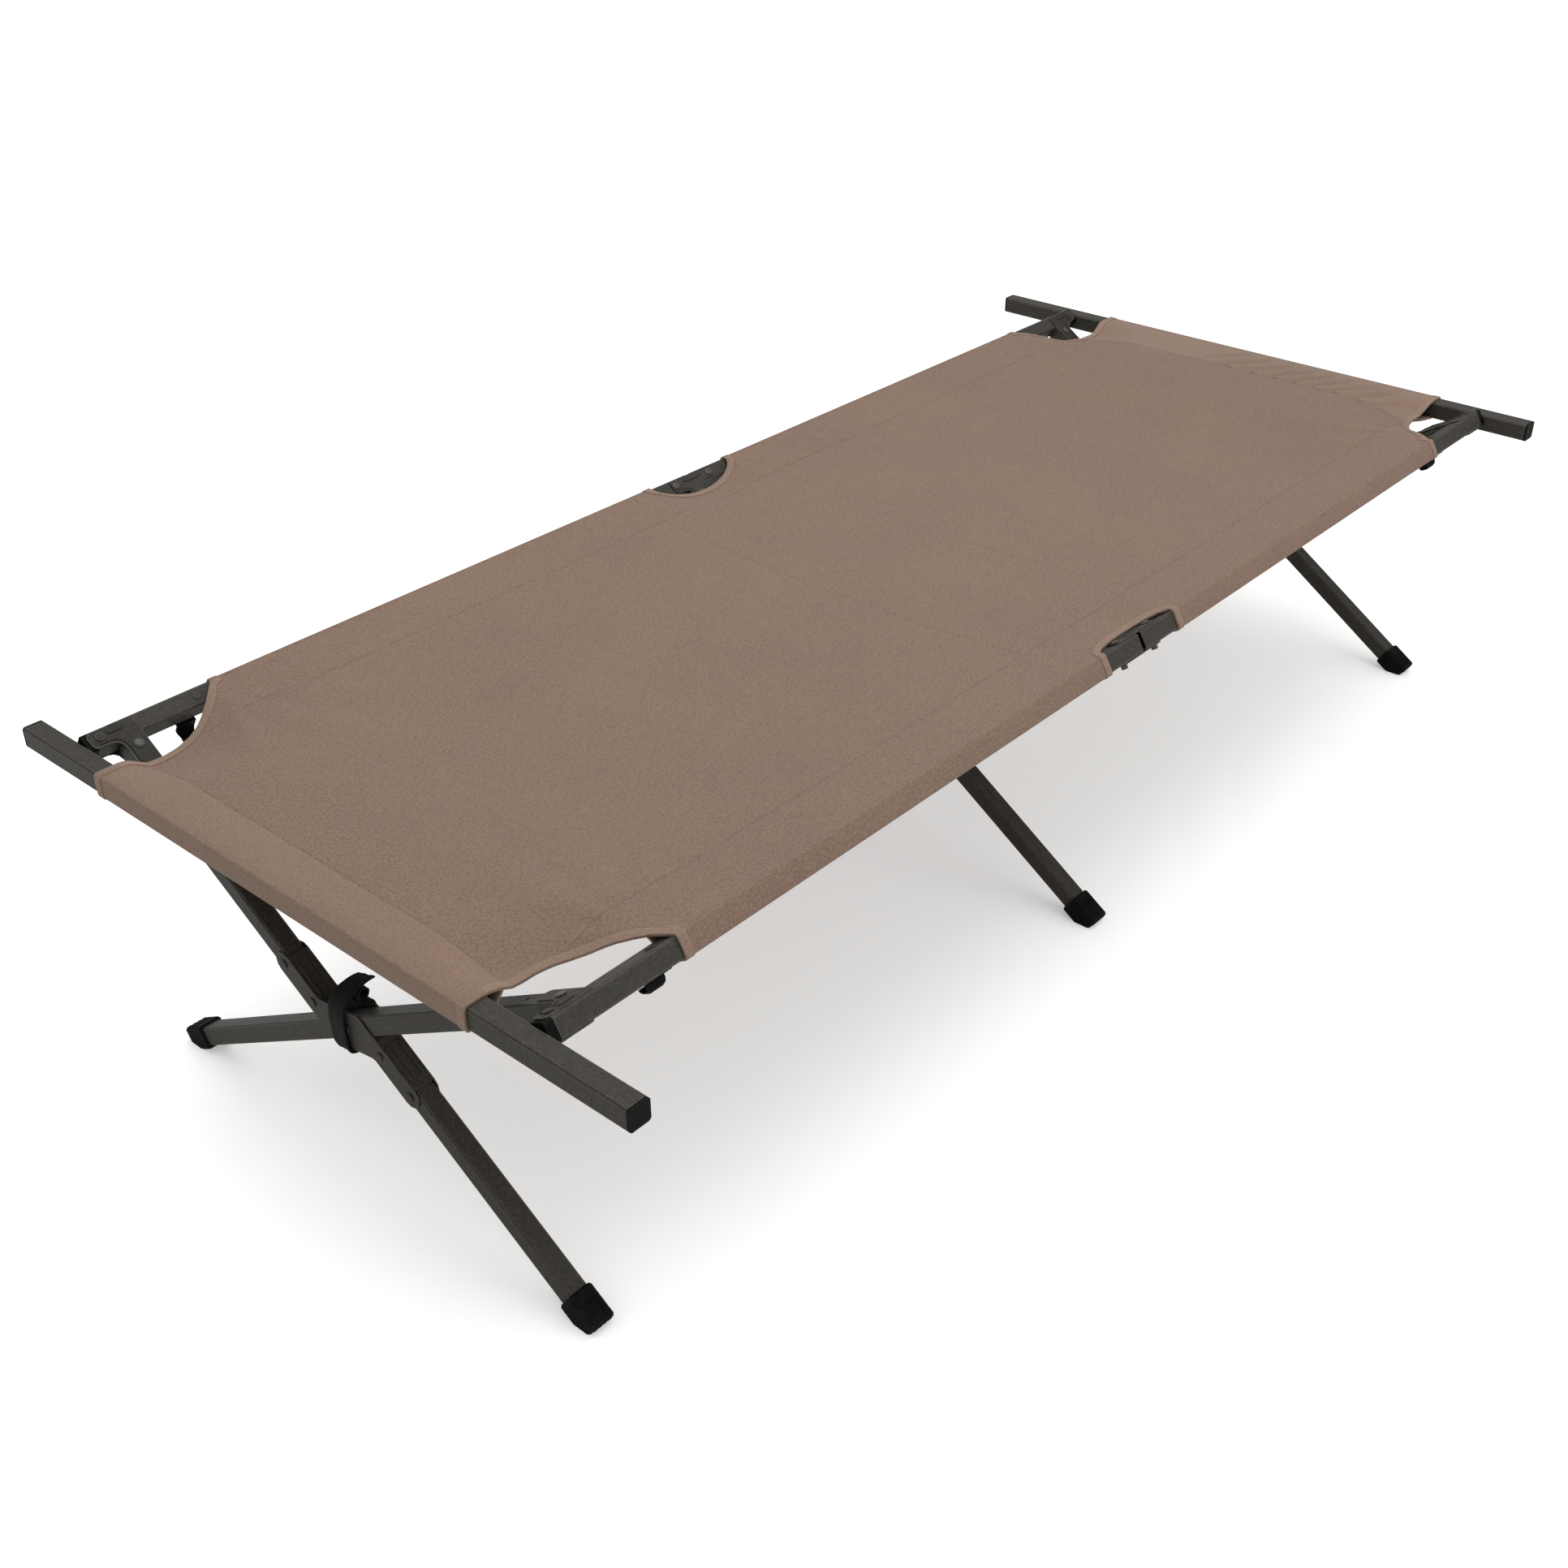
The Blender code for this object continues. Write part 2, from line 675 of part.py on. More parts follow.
def build_feet(cot):
    floor = box((-1.2, -0.6, -0.2), (1.2, 0.6, 0.0))
    ground = bpy.data.objects.new("floor_cutter", floor)
    ground.hide_render = True
    ground.display_type = "WIRE"
    cot.helpers.objects.link(ground)
    pocket = HALF + FIT
    layout = {
        RIGHT: (LEG_ANGLE, RAIL_Z, 0.0),
        LEFT: (SPLIT_ANGLE, lower_axis_height(), 2 * DOGLEG),
    }
    for side, (angle, axis_height, level) in layout.items():
        front = foot_front_s(angle, axis_height)
        tube_end = leg_end_s(angle, axis_height)
        back = front - FOOT_LENGTH
        for end in (NEAR, MIDDLE, FAR):
            name = f"{SIDE_NAMES[-side]}_foot_{END_NAMES[end]}"
            place = (outward(side, end) * LEG_X, 0, level)
            mesh = box((-FOOT_HALF, back, -FOOT_HALF), (FOOT_HALF, front, FOOT_HALF))
            foot = cot.add(name, mesh, cot.rubber, cot.side(side), place)
            edge = foot.modifiers.new("Edge", "BEVEL")
            edge.width = FOOT_ROUND
            edge.segments = 1
            opening = back - FOOT_LENGTH
            cot.cut(foot, box((-pocket, opening, -pocket), (pocket, tube_end + FIT, pocket)))
            trim = foot.modifiers.new("Floor", "BOOLEAN")
            trim.operation = "DIFFERENCE"
            trim.solver = "EXACT"
            trim.object = ground


def hook_outline():
    """Section of a leg hook in (s, height): a base under the rail, a leaf down and a lip."""
    under = -HALF - FIT
    leaf = HALF + FIT
    small = HOOK_SHEET * 0.4
    bottom = under - HOOK_SHEET - HOOK_DROP
    tip = leaf + HOOK_REACH
    corners = [
        (leaf + HOOK_SHEET, under, small),
        (leaf + HOOK_SHEET - HOOK_BASE, under, 0),
        (leaf + HOOK_SHEET - HOOK_BASE, under - HOOK_SHEET, 0),
        (leaf, under - HOOK_SHEET, small),
        (leaf, bottom, HOOK_ROUND),
        (tip, bottom, HOOK_SHEET),
        (tip, bottom + HOOK_LIP, 0),
        (tip - HOOK_SHEET, bottom + HOOK_LIP, 0),
        (tip - HOOK_SHEET, bottom + HOOK_SHEET, small),
        (leaf + HOOK_SHEET, bottom + HOOK_SHEET, HOOK_ROUND - HOOK_SHEET),
    ]
    return rounded(corners)


def build_hooks(cot):
    half = HOOK_WIDTH / 2
    top = -HALF - FIT
    bottom = top - HOOK_SHEET - HOOK_DROP
    front = rounded(
        [
            (-half, top + FIT, 0),
            (-half, bottom - FIT, HOOK_ROUND),
            (half, bottom - FIT, HOOK_ROUND),
            (half, top + FIT, 0),
        ]
    )
    turn = Matrix(((1, 0, 0, 0), (0, 0, -1, 0), (0, 1, 0, 0), (0, 0, 0, 1)))
    for side, hook_x in ((RIGHT, RIGHT_HOOK_X), (LEFT, LEFT_HOOK_X)):
        for end in (NEAR, FAR):
            name = f"{SIDE_NAMES[side]}_leg_hook_{END_NAMES[end]}"
            place = (outward(side, end) * hook_x, 0, 0)
            mesh = prism([hook_outline()], HOOK_WIDTH, Z_TO_X)
            hook = cot.add(name, mesh, cot.black, cot.side(side), place)
            cot.combine(hook, prism([front], 4 * TUBE, turn), "INTERSECT")


def build_bars(cot):
    core = BAR / 2 - BAR_WALL - FIT
    half = BAR_TUBE_LENGTH / 2
    for end in (NEAR, FAR):
        place = (end * BAR_X, end * BAR_SLIP, BAR_Z)
        name = f"{END_NAMES[end]}_bar"
        mesh = square_tube_mesh(BAR / 2, BAR_WALL, BAR_CORNER, -half, half, Z_TO_Y)
        cot.add(name, mesh, cot.steel, None, place)
        for side in (RIGHT, LEFT):
            start = side * (half + FIT)
            stop = side * (half + FIT + CAP_HEAD)
            section = square_outline(BAR / 2, BAR_CORNER, CORNER_STEPS)
            head = prism([section], CAP_HEAD, Z_TO_Y, (0, (start + stop) / 2, 0))
            cap = cot.add(f"{name}_cap_{SIDE_NAMES[side]}", head, cot.black, None, place)
            low, high = sorted((side * (half - CAP_SHANK), start + side * CAP_HEAD / 2))
            cot.fuse(cap, box((-core, low, -core), (core, high, core)))


def smooth_step(value):
    value = min(max(value, 0.0), 1.0)
    return value * value * (3 - 2 * value)


def rail_point(side, s, height):
    """World (y, z) of a point given in a rail's own leg and height directions."""
    angle = LEG_ANGLE if side == RIGHT else SPLIT_ANGLE
    y = -RAIL_Y + s * math.cos(angle) + height * math.sin(angle)
    z = RAIL_Z - s * math.sin(angle) + height * math.cos(angle)
    return (y, z) if side == RIGHT else (-y, z)


CLOTH_OFF = HALF + FIT + CANVAS / 2
CLOTH_TURN = 0.0014


def bed_edge(side):
    return rail_point(side, -CLOTH_OFF + CLOTH_TURN, CLOTH_OFF)


def bed_height(x, y):
    """Height of the middle of the cloth between the rails and the bars."""
    edge_y, edge_z = bed_edge(RIGHT if y < 0 else LEFT)
    bar_z = BAR_Z + BAR / 2 + FIT + CANVAS / 2
    span = 1 - min(abs(y / edge_y), 1.0) ** 2
    ends = smooth_step((abs(x) - END_BLEND_X) / (BAR_INNER_X - END_BLEND_X))
    drop = smooth_step((abs(x) - SLEEVE_END_X) / (BAR_INNER_X - SLEEVE_END_X))
    return edge_z - CANVAS_SAG * span * (1 - ends) - (edge_z - bar_z) * drop


def bed_half_width(x, side):
    """Where the cloth ends across the bed, with its cut corners and middle notches."""
    edge_y = abs(bed_edge(side)[0])
    reach = abs(x)
    if reach < SLEEVE_START_X:
        notch = math.sqrt(max(0.0, 1 - (reach / SLEEVE_START_X) ** 2))
        return edge_y - MID_CUT_DEPTH * notch
    if reach <= SLEEVE_END_X:
        return edge_y
    along = min((reach - SLEEVE_END_X) / (CORNER_CUT_END_X - SLEEVE_END_X), 1.0)
    return HEM_HALF_WIDTH + (edge_y - HEM_HALF_WIDTH) * (1 - along) ** CORNER_CUT_POWER


def sleeve_path(side, x):
    """Cloth round a rail, from the top corner to the stitch line under the bed."""
    off = CLOTH_OFF
    turn = CLOTH_TURN
    corners = [
        (-off, off - turn),
        (-off, -off + turn),
        (-off + turn, -off),
        (off - turn, -off),
        (off, -off + turn / 2),
    ]
    path = [rail_point(side, s, height) for s, height in corners]
    edge_y, _ = bed_edge(side)
    under = CANVAS + FIT
    for depth in (SLEEVE_DEPTH - STITCH_FLAT, SLEEVE_DEPTH):
        y = edge_y - math.copysign(depth, edge_y)
        path.append((y, bed_height(x, y) - under))
    return path


def hem_path(y):
    """Cloth round an end bar as (x, z), from its inner top edge back under the bed."""
    off = BAR / 2 + FIT + CANVAS / 2
    turn = CLOTH_TURN
    path = [
        (BAR_X + off - turn, BAR_Z + off),
        (BAR_X + off, BAR_Z + off - turn),
        (BAR_X + off, BAR_Z - off + turn),
        (BAR_X + off - turn, BAR_Z - off),
        (BAR_X - off + turn, BAR_Z - off),
    ]
    under = CANVAS + FIT
    for depth in (HEM_DEPTH - STITCH_FLAT, HEM_DEPTH):
        x = BAR_X + off - depth
        path.append((x, bed_height(x, y) - under))
    return path


def spaced(low, high, count):
    return [low + (high - low) * k / count for k in range(count)]


def canvas_columns():
    """Positions along the bed where the cloth's mesh has a line, from the middle out."""
    sleeve = spaced(SLEEVE_START_X, SLEEVE_END_X, 4)
    corner = spaced(SLEEVE_END_X, CORNER_CUT_END_X, 5)
    half = [SLEEVE_START_X * f for f in (0.45, 0.8, 0.95)]
    half += sleeve + corner + [CORNER_CUT_END_X, BAR_INNER_X]
    return [-x for x in reversed(half)] + [0.0] + half


def build_canvas(cot):
    columns = canvas_columns()
    rows = 10
    hem = len(hem_path(0.0))
    wrap = len(sleeve_path(RIGHT, 0.0))
    count_x = len(columns) + 2 * hem
    count_y = rows + 1 + 2 * wrap
    shape = bmesh.new()
    bmesh.ops.create_grid(shape, x_segments=count_x - 1, y_segments=count_y - 1, size=1.0)
    place = {}
    for vert in shape.verts:
        i = round((vert.co.x + 1) / 2 * (count_x - 1))
        j = round((vert.co.y + 1) / 2 * (count_y - 1))
        place[vert] = (i - hem, j - wrap)
    last = len(columns) - 1

    def sleeved(i):
        return 0 <= i <= last and SLEEVE_START_X <= abs(columns[i]) <= SLEEVE_END_X

    unused = []
    for face in shape.faces:
        cells = [place[vert] for vert in face.verts]
        beside = any(j < 0 or j > rows for _, j in cells)
        if beside and not all(sleeved(i) for i, _ in cells):
            unused.append(face)
        elif beside and min(columns[i] for i, _ in cells) < 0 < max(columns[i] for i, _ in cells):
            unused.append(face)
    bmesh.ops.delete(shape, geom=unused, context="FACES")
    for vert, (i, j) in place.items():
        if not vert.is_valid:
            continue
        inner_i = min(max(i, 0), last)
        inner_j = min(max(j, 0), rows)
        x = columns[inner_i]
        side = RIGHT if inner_j < rows / 2 else LEFT
        across = 2 * inner_j / rows - 1
        y = abs(across) * bed_half_width(x, side) * side
        z = bed_height(x, y)
        if i < 0 or i > last:
            step = -i - 1 if i < 0 else i - last - 1
            far_x, z = hem_path(y)[step]
            x = math.copysign(far_x, x)
        elif j < 0 or j > rows:
            step = -j - 1 if j < 0 else j - rows - 1
            y, z = sleeve_path(side, x)[step]
        vert.co = (x, y, z)
    bmesh.ops.recalc_face_normals(shape, faces=shape.faces)
    mesh = bpy.data.meshes.new("canvas")
    shape.to_mesh(mesh)
    shape.free()
    canvas = cot.add("canvas", mesh, cot.cloth)
    thickness = canvas.modifiers.new("Cloth", "SOLIDIFY")
    thickness.thickness = CANVAS
    thickness.offset = 0
    thickness.use_even_offset = True


def build_strap(cot):
    """Webbing band round the near crossing, with a loose loop and a free end on top."""
    inner_x = WALL_OUT + FIT + CROSS_HEAD_HEIGHT + FIT
    corner = 0.006

    def band(half_x, half_z, radius):
        return rounded(
            [
                (-half_z, -half_x, radius),
                (half_z, -half_x, radius),
                (half_z, half_x, radius),
                (-half_z, half_x, radius),
            ]
        )

    outer = band(inner_x + STRAP_SHEET, STRAP_HALF_HEIGHT + STRAP_SHEET, corner)
    inner = band(inner_x, STRAP_HALF_HEIGHT, corner - STRAP_SHEET)
    mesh = prism([outer, inner], STRAP_WIDTH, Z_TO_Y)
    strap = cot.add("leg_strap", mesh, cot.webbing, None, (-LEG_X, 0, PIVOT_Z))
    loop_z = STRAP_HALF_HEIGHT + STRAP_LOOP_R

    def ring(radius):
        return [
            (
                loop_z + radius * math.cos(2 * math.pi * k / SIDES),
                radius * math.sin(2 * math.pi * k / SIDES),
            )
            for k in range(SIDES)
        ]

    loop = prism([ring(STRAP_LOOP_R), ring(STRAP_LOOP_R - STRAP_SHEET)], STRAP_WIDTH * 0.98, Z_TO_Y)
    cot.fuse(strap, loop)
    tail = box((-STRAP_SHEET, -STRAP_WIDTH / 2, 0), (0, STRAP_WIDTH / 2, STRAP_TAIL))
    lean = Matrix.Rotation(STRAP_TAIL_TILT, 4, "X")
    tail.transform(Matrix.Translation((-inner_x, 0, STRAP_HALF_HEIGHT - corner)) @ lean)
    cot.fuse(strap, tail)


def smooth_round_pieces(cot):
    for obj in cot.parts.objects:
        if obj.type == "MESH" and any(m.type == "SCREW" for m in obj.modifiers):
            obj.data.shade_smooth()


def main():
    clear_scene()
    cot = Cot()
    build_rails(cot)
    build_rail_plugs(cot)
    build_corner_brackets(cot)
    build_hinge_brackets(cot)
    build_hinge_rivets(cot)
    build_leg_rivets(cot)
    build_straight_legs(cot)
    build_split_legs(cot)
    build_cross_brackets(cot)
    build_cross_pins(cot)
    build_feet(cot)
    build_hooks(cot)
    build_bars(cot)
    build_canvas(cot)
    build_strap(cot)
    smooth_round_pieces(cot)


main()
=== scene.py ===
# %% [markdown]
# # Dressing a folding camping cot
# The cot comes as a finished frame of plain solids: tubes, brackets, rivets, rubber feet
# and one thin cloth. This lesson adds what the eye looks for on the real thing: woven
# canvas with bound edges and stitched pockets, hammered paint, pressed ribs and webbing.

# %% Load the imported frame
import math

import bmesh
import bpy
from mathutils import Matrix, Vector, noise


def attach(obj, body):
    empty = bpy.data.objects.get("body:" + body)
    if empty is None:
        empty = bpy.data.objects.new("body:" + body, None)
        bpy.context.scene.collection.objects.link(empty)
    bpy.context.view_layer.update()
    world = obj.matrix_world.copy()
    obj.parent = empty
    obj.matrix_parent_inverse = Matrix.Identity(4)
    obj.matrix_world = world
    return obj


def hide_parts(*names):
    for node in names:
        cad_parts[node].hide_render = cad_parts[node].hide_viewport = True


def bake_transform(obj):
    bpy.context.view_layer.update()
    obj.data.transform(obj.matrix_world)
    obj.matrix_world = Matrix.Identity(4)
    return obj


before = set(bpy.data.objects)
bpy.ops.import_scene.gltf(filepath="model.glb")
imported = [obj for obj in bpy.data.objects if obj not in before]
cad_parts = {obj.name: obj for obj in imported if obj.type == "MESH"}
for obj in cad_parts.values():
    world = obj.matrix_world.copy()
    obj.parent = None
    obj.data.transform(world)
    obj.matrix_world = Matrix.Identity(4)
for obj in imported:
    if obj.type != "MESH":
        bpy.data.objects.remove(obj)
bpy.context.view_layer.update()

# %% [markdown]
# The camera goes first, because every later look is judged through it. It stands near
# the right-hand corner of the near end, about a metre and a half up, and looks down
# along the bed. Its turn is built from three axes, so that the small roll of the real
# camera is kept too.

# %% Camera
CAMERA_PLACE = Vector((-1.74903, -1.36095, 1.46837))
CAMERA_YAW, CAMERA_PITCH, CAMERA_ROLL = 0.7264, -0.5625, -0.0098
CAMERA_LENS = 42.82
SENSOR = 36.0


def camera_turn():
    """Turn made of the picture's right, its up, and the way back from the view."""
    cos_pitch = math.cos(CAMERA_PITCH)
    ahead_x = cos_pitch * math.cos(CAMERA_YAW)
    ahead_y = cos_pitch * math.sin(CAMERA_YAW)
    ahead = Vector((ahead_x, ahead_y, math.sin(CAMERA_PITCH)))
    level = Vector((math.sin(CAMERA_YAW), -math.cos(CAMERA_YAW), 0))
    upright = level.cross(ahead)
    cos_roll, sin_roll = math.cos(CAMERA_ROLL), math.sin(CAMERA_ROLL)
    right = cos_roll * level + sin_roll * upright
    up = cos_roll * upright - sin_roll * level
    return Matrix((right, up, -ahead)).transposed().to_4x4()


def add_camera():
    data = bpy.data.cameras.new("camera")
    data.lens = CAMERA_LENS
    data.sensor_width = SENSOR
    camera = bpy.data.objects.new("camera", data)
    camera.matrix_world = Matrix.Translation(CAMERA_PLACE) @ camera_turn()
    bpy.context.scene.collection.objects.link(camera)
    bpy.context.scene.camera = camera
    return camera


camera = add_camera()
print("camera at", tuple(round(c, 3) for c in camera.location))

# %% [markdown]
# The stage is a wide pale floor. A white ground is usually lit more strongly than the
# product on it, until its edges can't be seen. A brighter floor would also light the
# tubes from below, so its paint has a faint glow that only the camera sees.

# %% Floor
FLOOR_SIZE = 60.0
FLOOR_GAP = 0.0005
FLOOR_GLOW = 0.30


def floor_paint():
    """Pale paint that looks a little brighter to the camera than it lights the cot."""
    material = bpy.data.materials.new("floor_paint")
    material.use_nodes = True
    tree = material.node_tree
    shader = tree.nodes["Principled BSDF"]
    shader.inputs["Base Color"].default_value = (0.86, 0.86, 0.85, 1)
    shader.inputs["Roughness"].default_value = 0.9
    shader.inputs["Emission Color"].default_value = (1, 1, 1, 1)
    seen = tree.nodes.new("ShaderNodeLightPath").outputs["Is Camera Ray"]
    glow = tree.nodes.new("ShaderNodeMath")
    glow.operation = "MULTIPLY"
    glow.inputs[1].default_value = FLOOR_GLOW
    tree.links.new(seen, glow.inputs[0])
    tree.links.new(glow.outputs[0], shader.inputs["Emission Strength"])
    return material


def add_floor():
    shape = bmesh.new()
    bmesh.ops.create_grid(shape, x_segments=1, y_segments=1, size=FLOOR_SIZE / 2)
    mesh = bpy.data.meshes.new("floor")
    shape.to_mesh(mesh)
    shape.free()
    mesh.materials.append(floor_paint())
    floor = bpy.data.objects.new("floor", mesh)
    floor.location.z = -FLOOR_GAP
    bpy.context.scene.collection.objects.link(floor)


add_floor()
print("floor:", FLOOR_SIZE, "m square")

# %% [markdown]
# A studio shot of a product on white has almost no shadow. So most of the light comes
# from the bright surroundings. Two large round lamps, one overhead and one out at the
# right, only give the faces of the tubes different tones. The plain view transform
# keeps white things white.

# %% Lights
def add_area_light(name, place, target, size, power):
    data = bpy.data.lights.new(name, "AREA")
    data.shape = "DISK"
    data.size = size
    data.energy = power
    lamp = bpy.data.objects.new(name, data)
    lamp.location = place
    lamp.rotation_euler = (Vector(target) - Vector(place)).to_track_quat("-Z", "Y").to_euler()
    bpy.context.scene.collection.objects.link(lamp)
    print("lamp:", name, power, "W,", size, "m across")


def add_surroundings(strength):
    world = bpy.data.worlds.new("surroundings")
    world.use_nodes = True
    background = world.node_tree.nodes["Background"]
    background.inputs["Color"].default_value = (1, 1, 1, 1)
    background.inputs["Strength"].default_value = strength
    bpy.context.scene.world = world


add_surroundings(strength=0.80)
add_area_light("overhead", place=(0.0, 0.2, 3.1), target=(0, 0, 0.4), size=3.6, power=72)
add_area_light("side_fill", place=(0.4, -3.4, 1.5), target=(0, 0, 0.35), size=2.6, power=34)
bpy.context.scene.view_settings.view_transform = "Standard"

# %% [markdown]
# The cot's two long rails are tilted with their legs, so a place on a rail is easiest
# to give in the rail's own directions: along the bed, down the leg, and up out of the
# leg's top face. One matrix for each side turns such a place into the cot's frame. The
# angles follow from the width between the rails and from the step that carries one leg
# of each pair over the other.

# %% Side frames
RIGHT, LEFT = "right", "left"
SIGN = {RIGHT: -1, LEFT: 1}
ENDS = {"near": -1, "middle": 0, "far": 1}
RAIL_Y = 0.3675
RAIL_Z = 0.4215
TUBE_HALF = 0.012
LEG_STEP = 0.0246
LEG_X = 0.902
RIGHT_LEAN = math.radians(30.4)
PIVOT_REACH = RAIL_Y / math.cos(RIGHT_LEAN)
TILT = {RIGHT: RIGHT_LEAN, LEFT: RIGHT_LEAN + math.asin(LEG_STEP / PIVOT_REACH)}
CROSSING_DOWN = math.sqrt(PIVOT_REACH**2 - LEG_STEP**2)


def side_frame(side):
    sign, tilt = SIGN[side], TILT[side]
    along = Vector((-sign, 0, 0))
    down = Vector((0, -sign * math.cos(tilt), -math.sin(tilt)))
    up = Vector((0, -sign * math.sin(tilt), math.cos(tilt)))
    turn = Matrix((along, down, up)).transposed().to_4x4()
    return Matrix.Translation((0, sign * RAIL_Y, RAIL_Z)) @ turn


FRAME = {side: side_frame(side) for side in SIGN}


def rail_point(side, down, up):
    """(y, z) of a place given down the leg and up from the rail's middle."""
    place = FRAME[side] @ Vector((0, down, up))
    return place.y, place.z


def outward(side, end):
    """Sign of a side frame's own X that points out of the bed at that end."""
    return -SIGN[side] * ENDS[end]


print("legs lean", {side: round(math.degrees(tilt), 2) for side, tilt in TILT.items()})

# %% [markdown]
# Every material is built from nodes. A few small helpers keep the node trees readable:
# one makes a node and wires or sets its inputs, some do arithmetic, one mixes two
# colours, one carries a value smoothly from one range to another, and one makes noise.

# %% Node helpers
def node(tree, kind, inputs=None, **settings):
    """New node; each input is wired to a socket or set to a value."""
    made = tree.nodes.new("ShaderNode" + kind)
    for key, value in settings.items():
        setattr(made, key, value)
    for key, value in (inputs or {}).items():
        if isinstance(value, bpy.types.NodeSocket):
            tree.links.new(value, made.inputs[key])
        else:
            made.inputs[key].default_value = value
    return made


def math_node(tree, operation, first, second=0.0, third=0.0):
    made = node(tree, "Math", {0: first, 1: second, 2: third}, operation=operation)
    return made.outputs[0]


def times(tree, first, second):
    return math_node(tree, "MULTIPLY", first, second)


def times_plus(tree, first, second, added):
    return math_node(tree, "MULTIPLY_ADD", first, second, added)


def wave(tree, value, rate):
    return math_node(tree, "SINE", times(tree, value, rate))


def mix_colours(tree, share, first, second):
    made = node(tree, "Mix", {0: share, 6: first, 7: second}, data_type="RGBA")
    return made.outputs[2]


def ramp(tree, value, low, high, start=0.0, end=1.0):
    """Value from low..high carried smoothly to start..end."""
    spans = {"Value": value, "From Min": low, "From Max": high, "To Min": start, "To Max": end}
    return node(tree, "MapRange", spans, interpolation_type="SMOOTHSTEP").outputs["Result"]


def speckle(tree, vector, scale, detail=2.0, roughness=0.5):
    look = {"Vector": vector, "Scale": scale, "Detail": detail, "Roughness": roughness}
    return node(tree, "TexNoise", look).outputs["Fac"]


def bump(tree, height, distance, strength):
    made = node(tree, "Bump", {"Height": height, "Distance": distance, "Strength": strength})
    return made.outputs["Normal"]


print("node helpers:", [helper.__name__ for helper in (node, mix_colours, ramp, speckle, bump)])

# %% [markdown]
# An effect that several materials share is a node group with named sockets, built once.
# A material sets the numbers that are the same all over on its own shader, and wires in
# only what changes over the surface.

# %% Groups and materials
SOCKETS = {
    "vector": "NodeSocketVector",
    "float": "NodeSocketFloat",
    "color": "NodeSocketColor",
}


def start_group(name, inputs, outputs):
    group = bpy.data.node_groups.new(name, "ShaderNodeTree")
    face = group.interface
    for label, kind, value in inputs:
        socket = face.new_socket(name=label, in_out="INPUT", socket_type=SOCKETS[kind])
        if value is not None:
            socket.default_value = value
    for label, kind in outputs:
        face.new_socket(name=label, in_out="OUTPUT", socket_type=SOCKETS[kind])
    return group, group.nodes.new("NodeGroupInput"), group.nodes.new("NodeGroupOutput")


def place_group(tree, group, inputs):
    return node(tree, "Group", inputs, node_tree=group)


def input_name(key):
    return key.replace("_", " ").title()


def start_material(name, specular=None, **fixed):
    """New material with its shader's own numbers set."""
    material = bpy.data.materials.new(name)
    material.use_nodes = True
    tree = material.node_tree
    shader = tree.nodes["Principled BSDF"]
    if specular is not None:
        shader.inputs["Specular IOR Level"].default_value = specular
    for key, value in fixed.items():
        shader.inputs[input_name(key)].default_value = value
    return material, tree, shader


def wire(tree, shader, **sockets):
    """Wire sockets, given as base_color, roughness or normal, into a shader."""
    for key, socket in sockets.items():
        tree.links.new(socket, shader.inputs[input_name(key)])


def object_place(tree):
    return node(tree, "TexCoord").outputs["Object"]


print("kinds of group socket:", sorted(SOCKETS))

# %% [markdown]
# Hammered paint is a thick enamel that draws up into small pools as it dries. So the
# steel looks mottled: darker pools with paler rims, and patches that lean to brown or to
# moss green. One group makes the mottle from two sizes of noise and a cell pattern, and
# a third noise places the patches.

# %% Hammered paint
def build_mottle_group():
    inputs = [
        ("Vector", "vector", None),
        ("Pool", "color", (0.0165, 0.0150, 0.0125, 1)),
        ("Rim", "color", (0.0400, 0.0365, 0.0300, 1)),
        ("Rust", "color", (0.0440, 0.0315, 0.0205, 1)),
        ("Moss", "color", (0.0235, 0.0250, 0.0210, 1)),
        ("Size", "float", 420.0),
    ]
    outputs = [("Color", "color"), ("Height", "float"), ("Roughness", "float")]
    group, given, result = start_group("hammered_mottle", inputs, outputs)
    place, size = given.outputs["Vector"], given.outputs["Size"]
    broad = speckle(group, place, times(group, size, 0.45), 3.0, 0.6)
    fine = speckle(group, place, times(group, size, 1.6), 4.0, 0.7)
    patches = speckle(group, place, times(group, size, 0.5), 3.0, 0.6)
    look = {"Vector": place, "Scale": size, "Smoothness": 0.6}
    cells = node(group, "TexVoronoi", look, feature="SMOOTH_F1").outputs["Distance"]
    pools = times_plus(group, broad, 0.45, times(group, fine, 0.8))
    pools = times_plus(group, cells, 0.30, pools)
    shade = ramp(group, pools, 0.55, 0.95)
    brown = ramp(group, patches, 0.50, 0.64, 0.0, 0.45)
    green = ramp(group, patches, 0.50, 0.38, 0.0, 0.45)
    paint = mix_colours(group, shade, given.outputs["Pool"], given.outputs["Rim"])
    paint = mix_colours(group, brown, paint, given.outputs["Rust"])
    paint = mix_colours(group, green, paint, given.outputs["Moss"])
    group.links.new(paint, result.inputs["Color"])
    group.links.new(cells, result.inputs["Height"])
    group.links.new(ramp(group, fine, 0.3, 0.7, 0.42, 0.66), result.inputs["Roughness"])
    return group


MOTTLE = build_mottle_group()
print("group:", MOTTLE.name, "with", len(MOTTLE.nodes), "nodes")

# %% [markdown]
# Paint wears off along corners, and the paler line there is also a painted highlight.
# A second group compares the face's own direction with one that is averaged round the
# edge, which differ only along a corner. It breaks that line up with noise, because paint
# wears off in patches. It also darkens the last millimetres of every crevice as painted shade.

# %% Worn and highlit edges, and painted crevice shade
CREVICE = 0.0035
CREVICE_SHADE_COLOUR = (0.0025, 0.0023, 0.0020, 1)


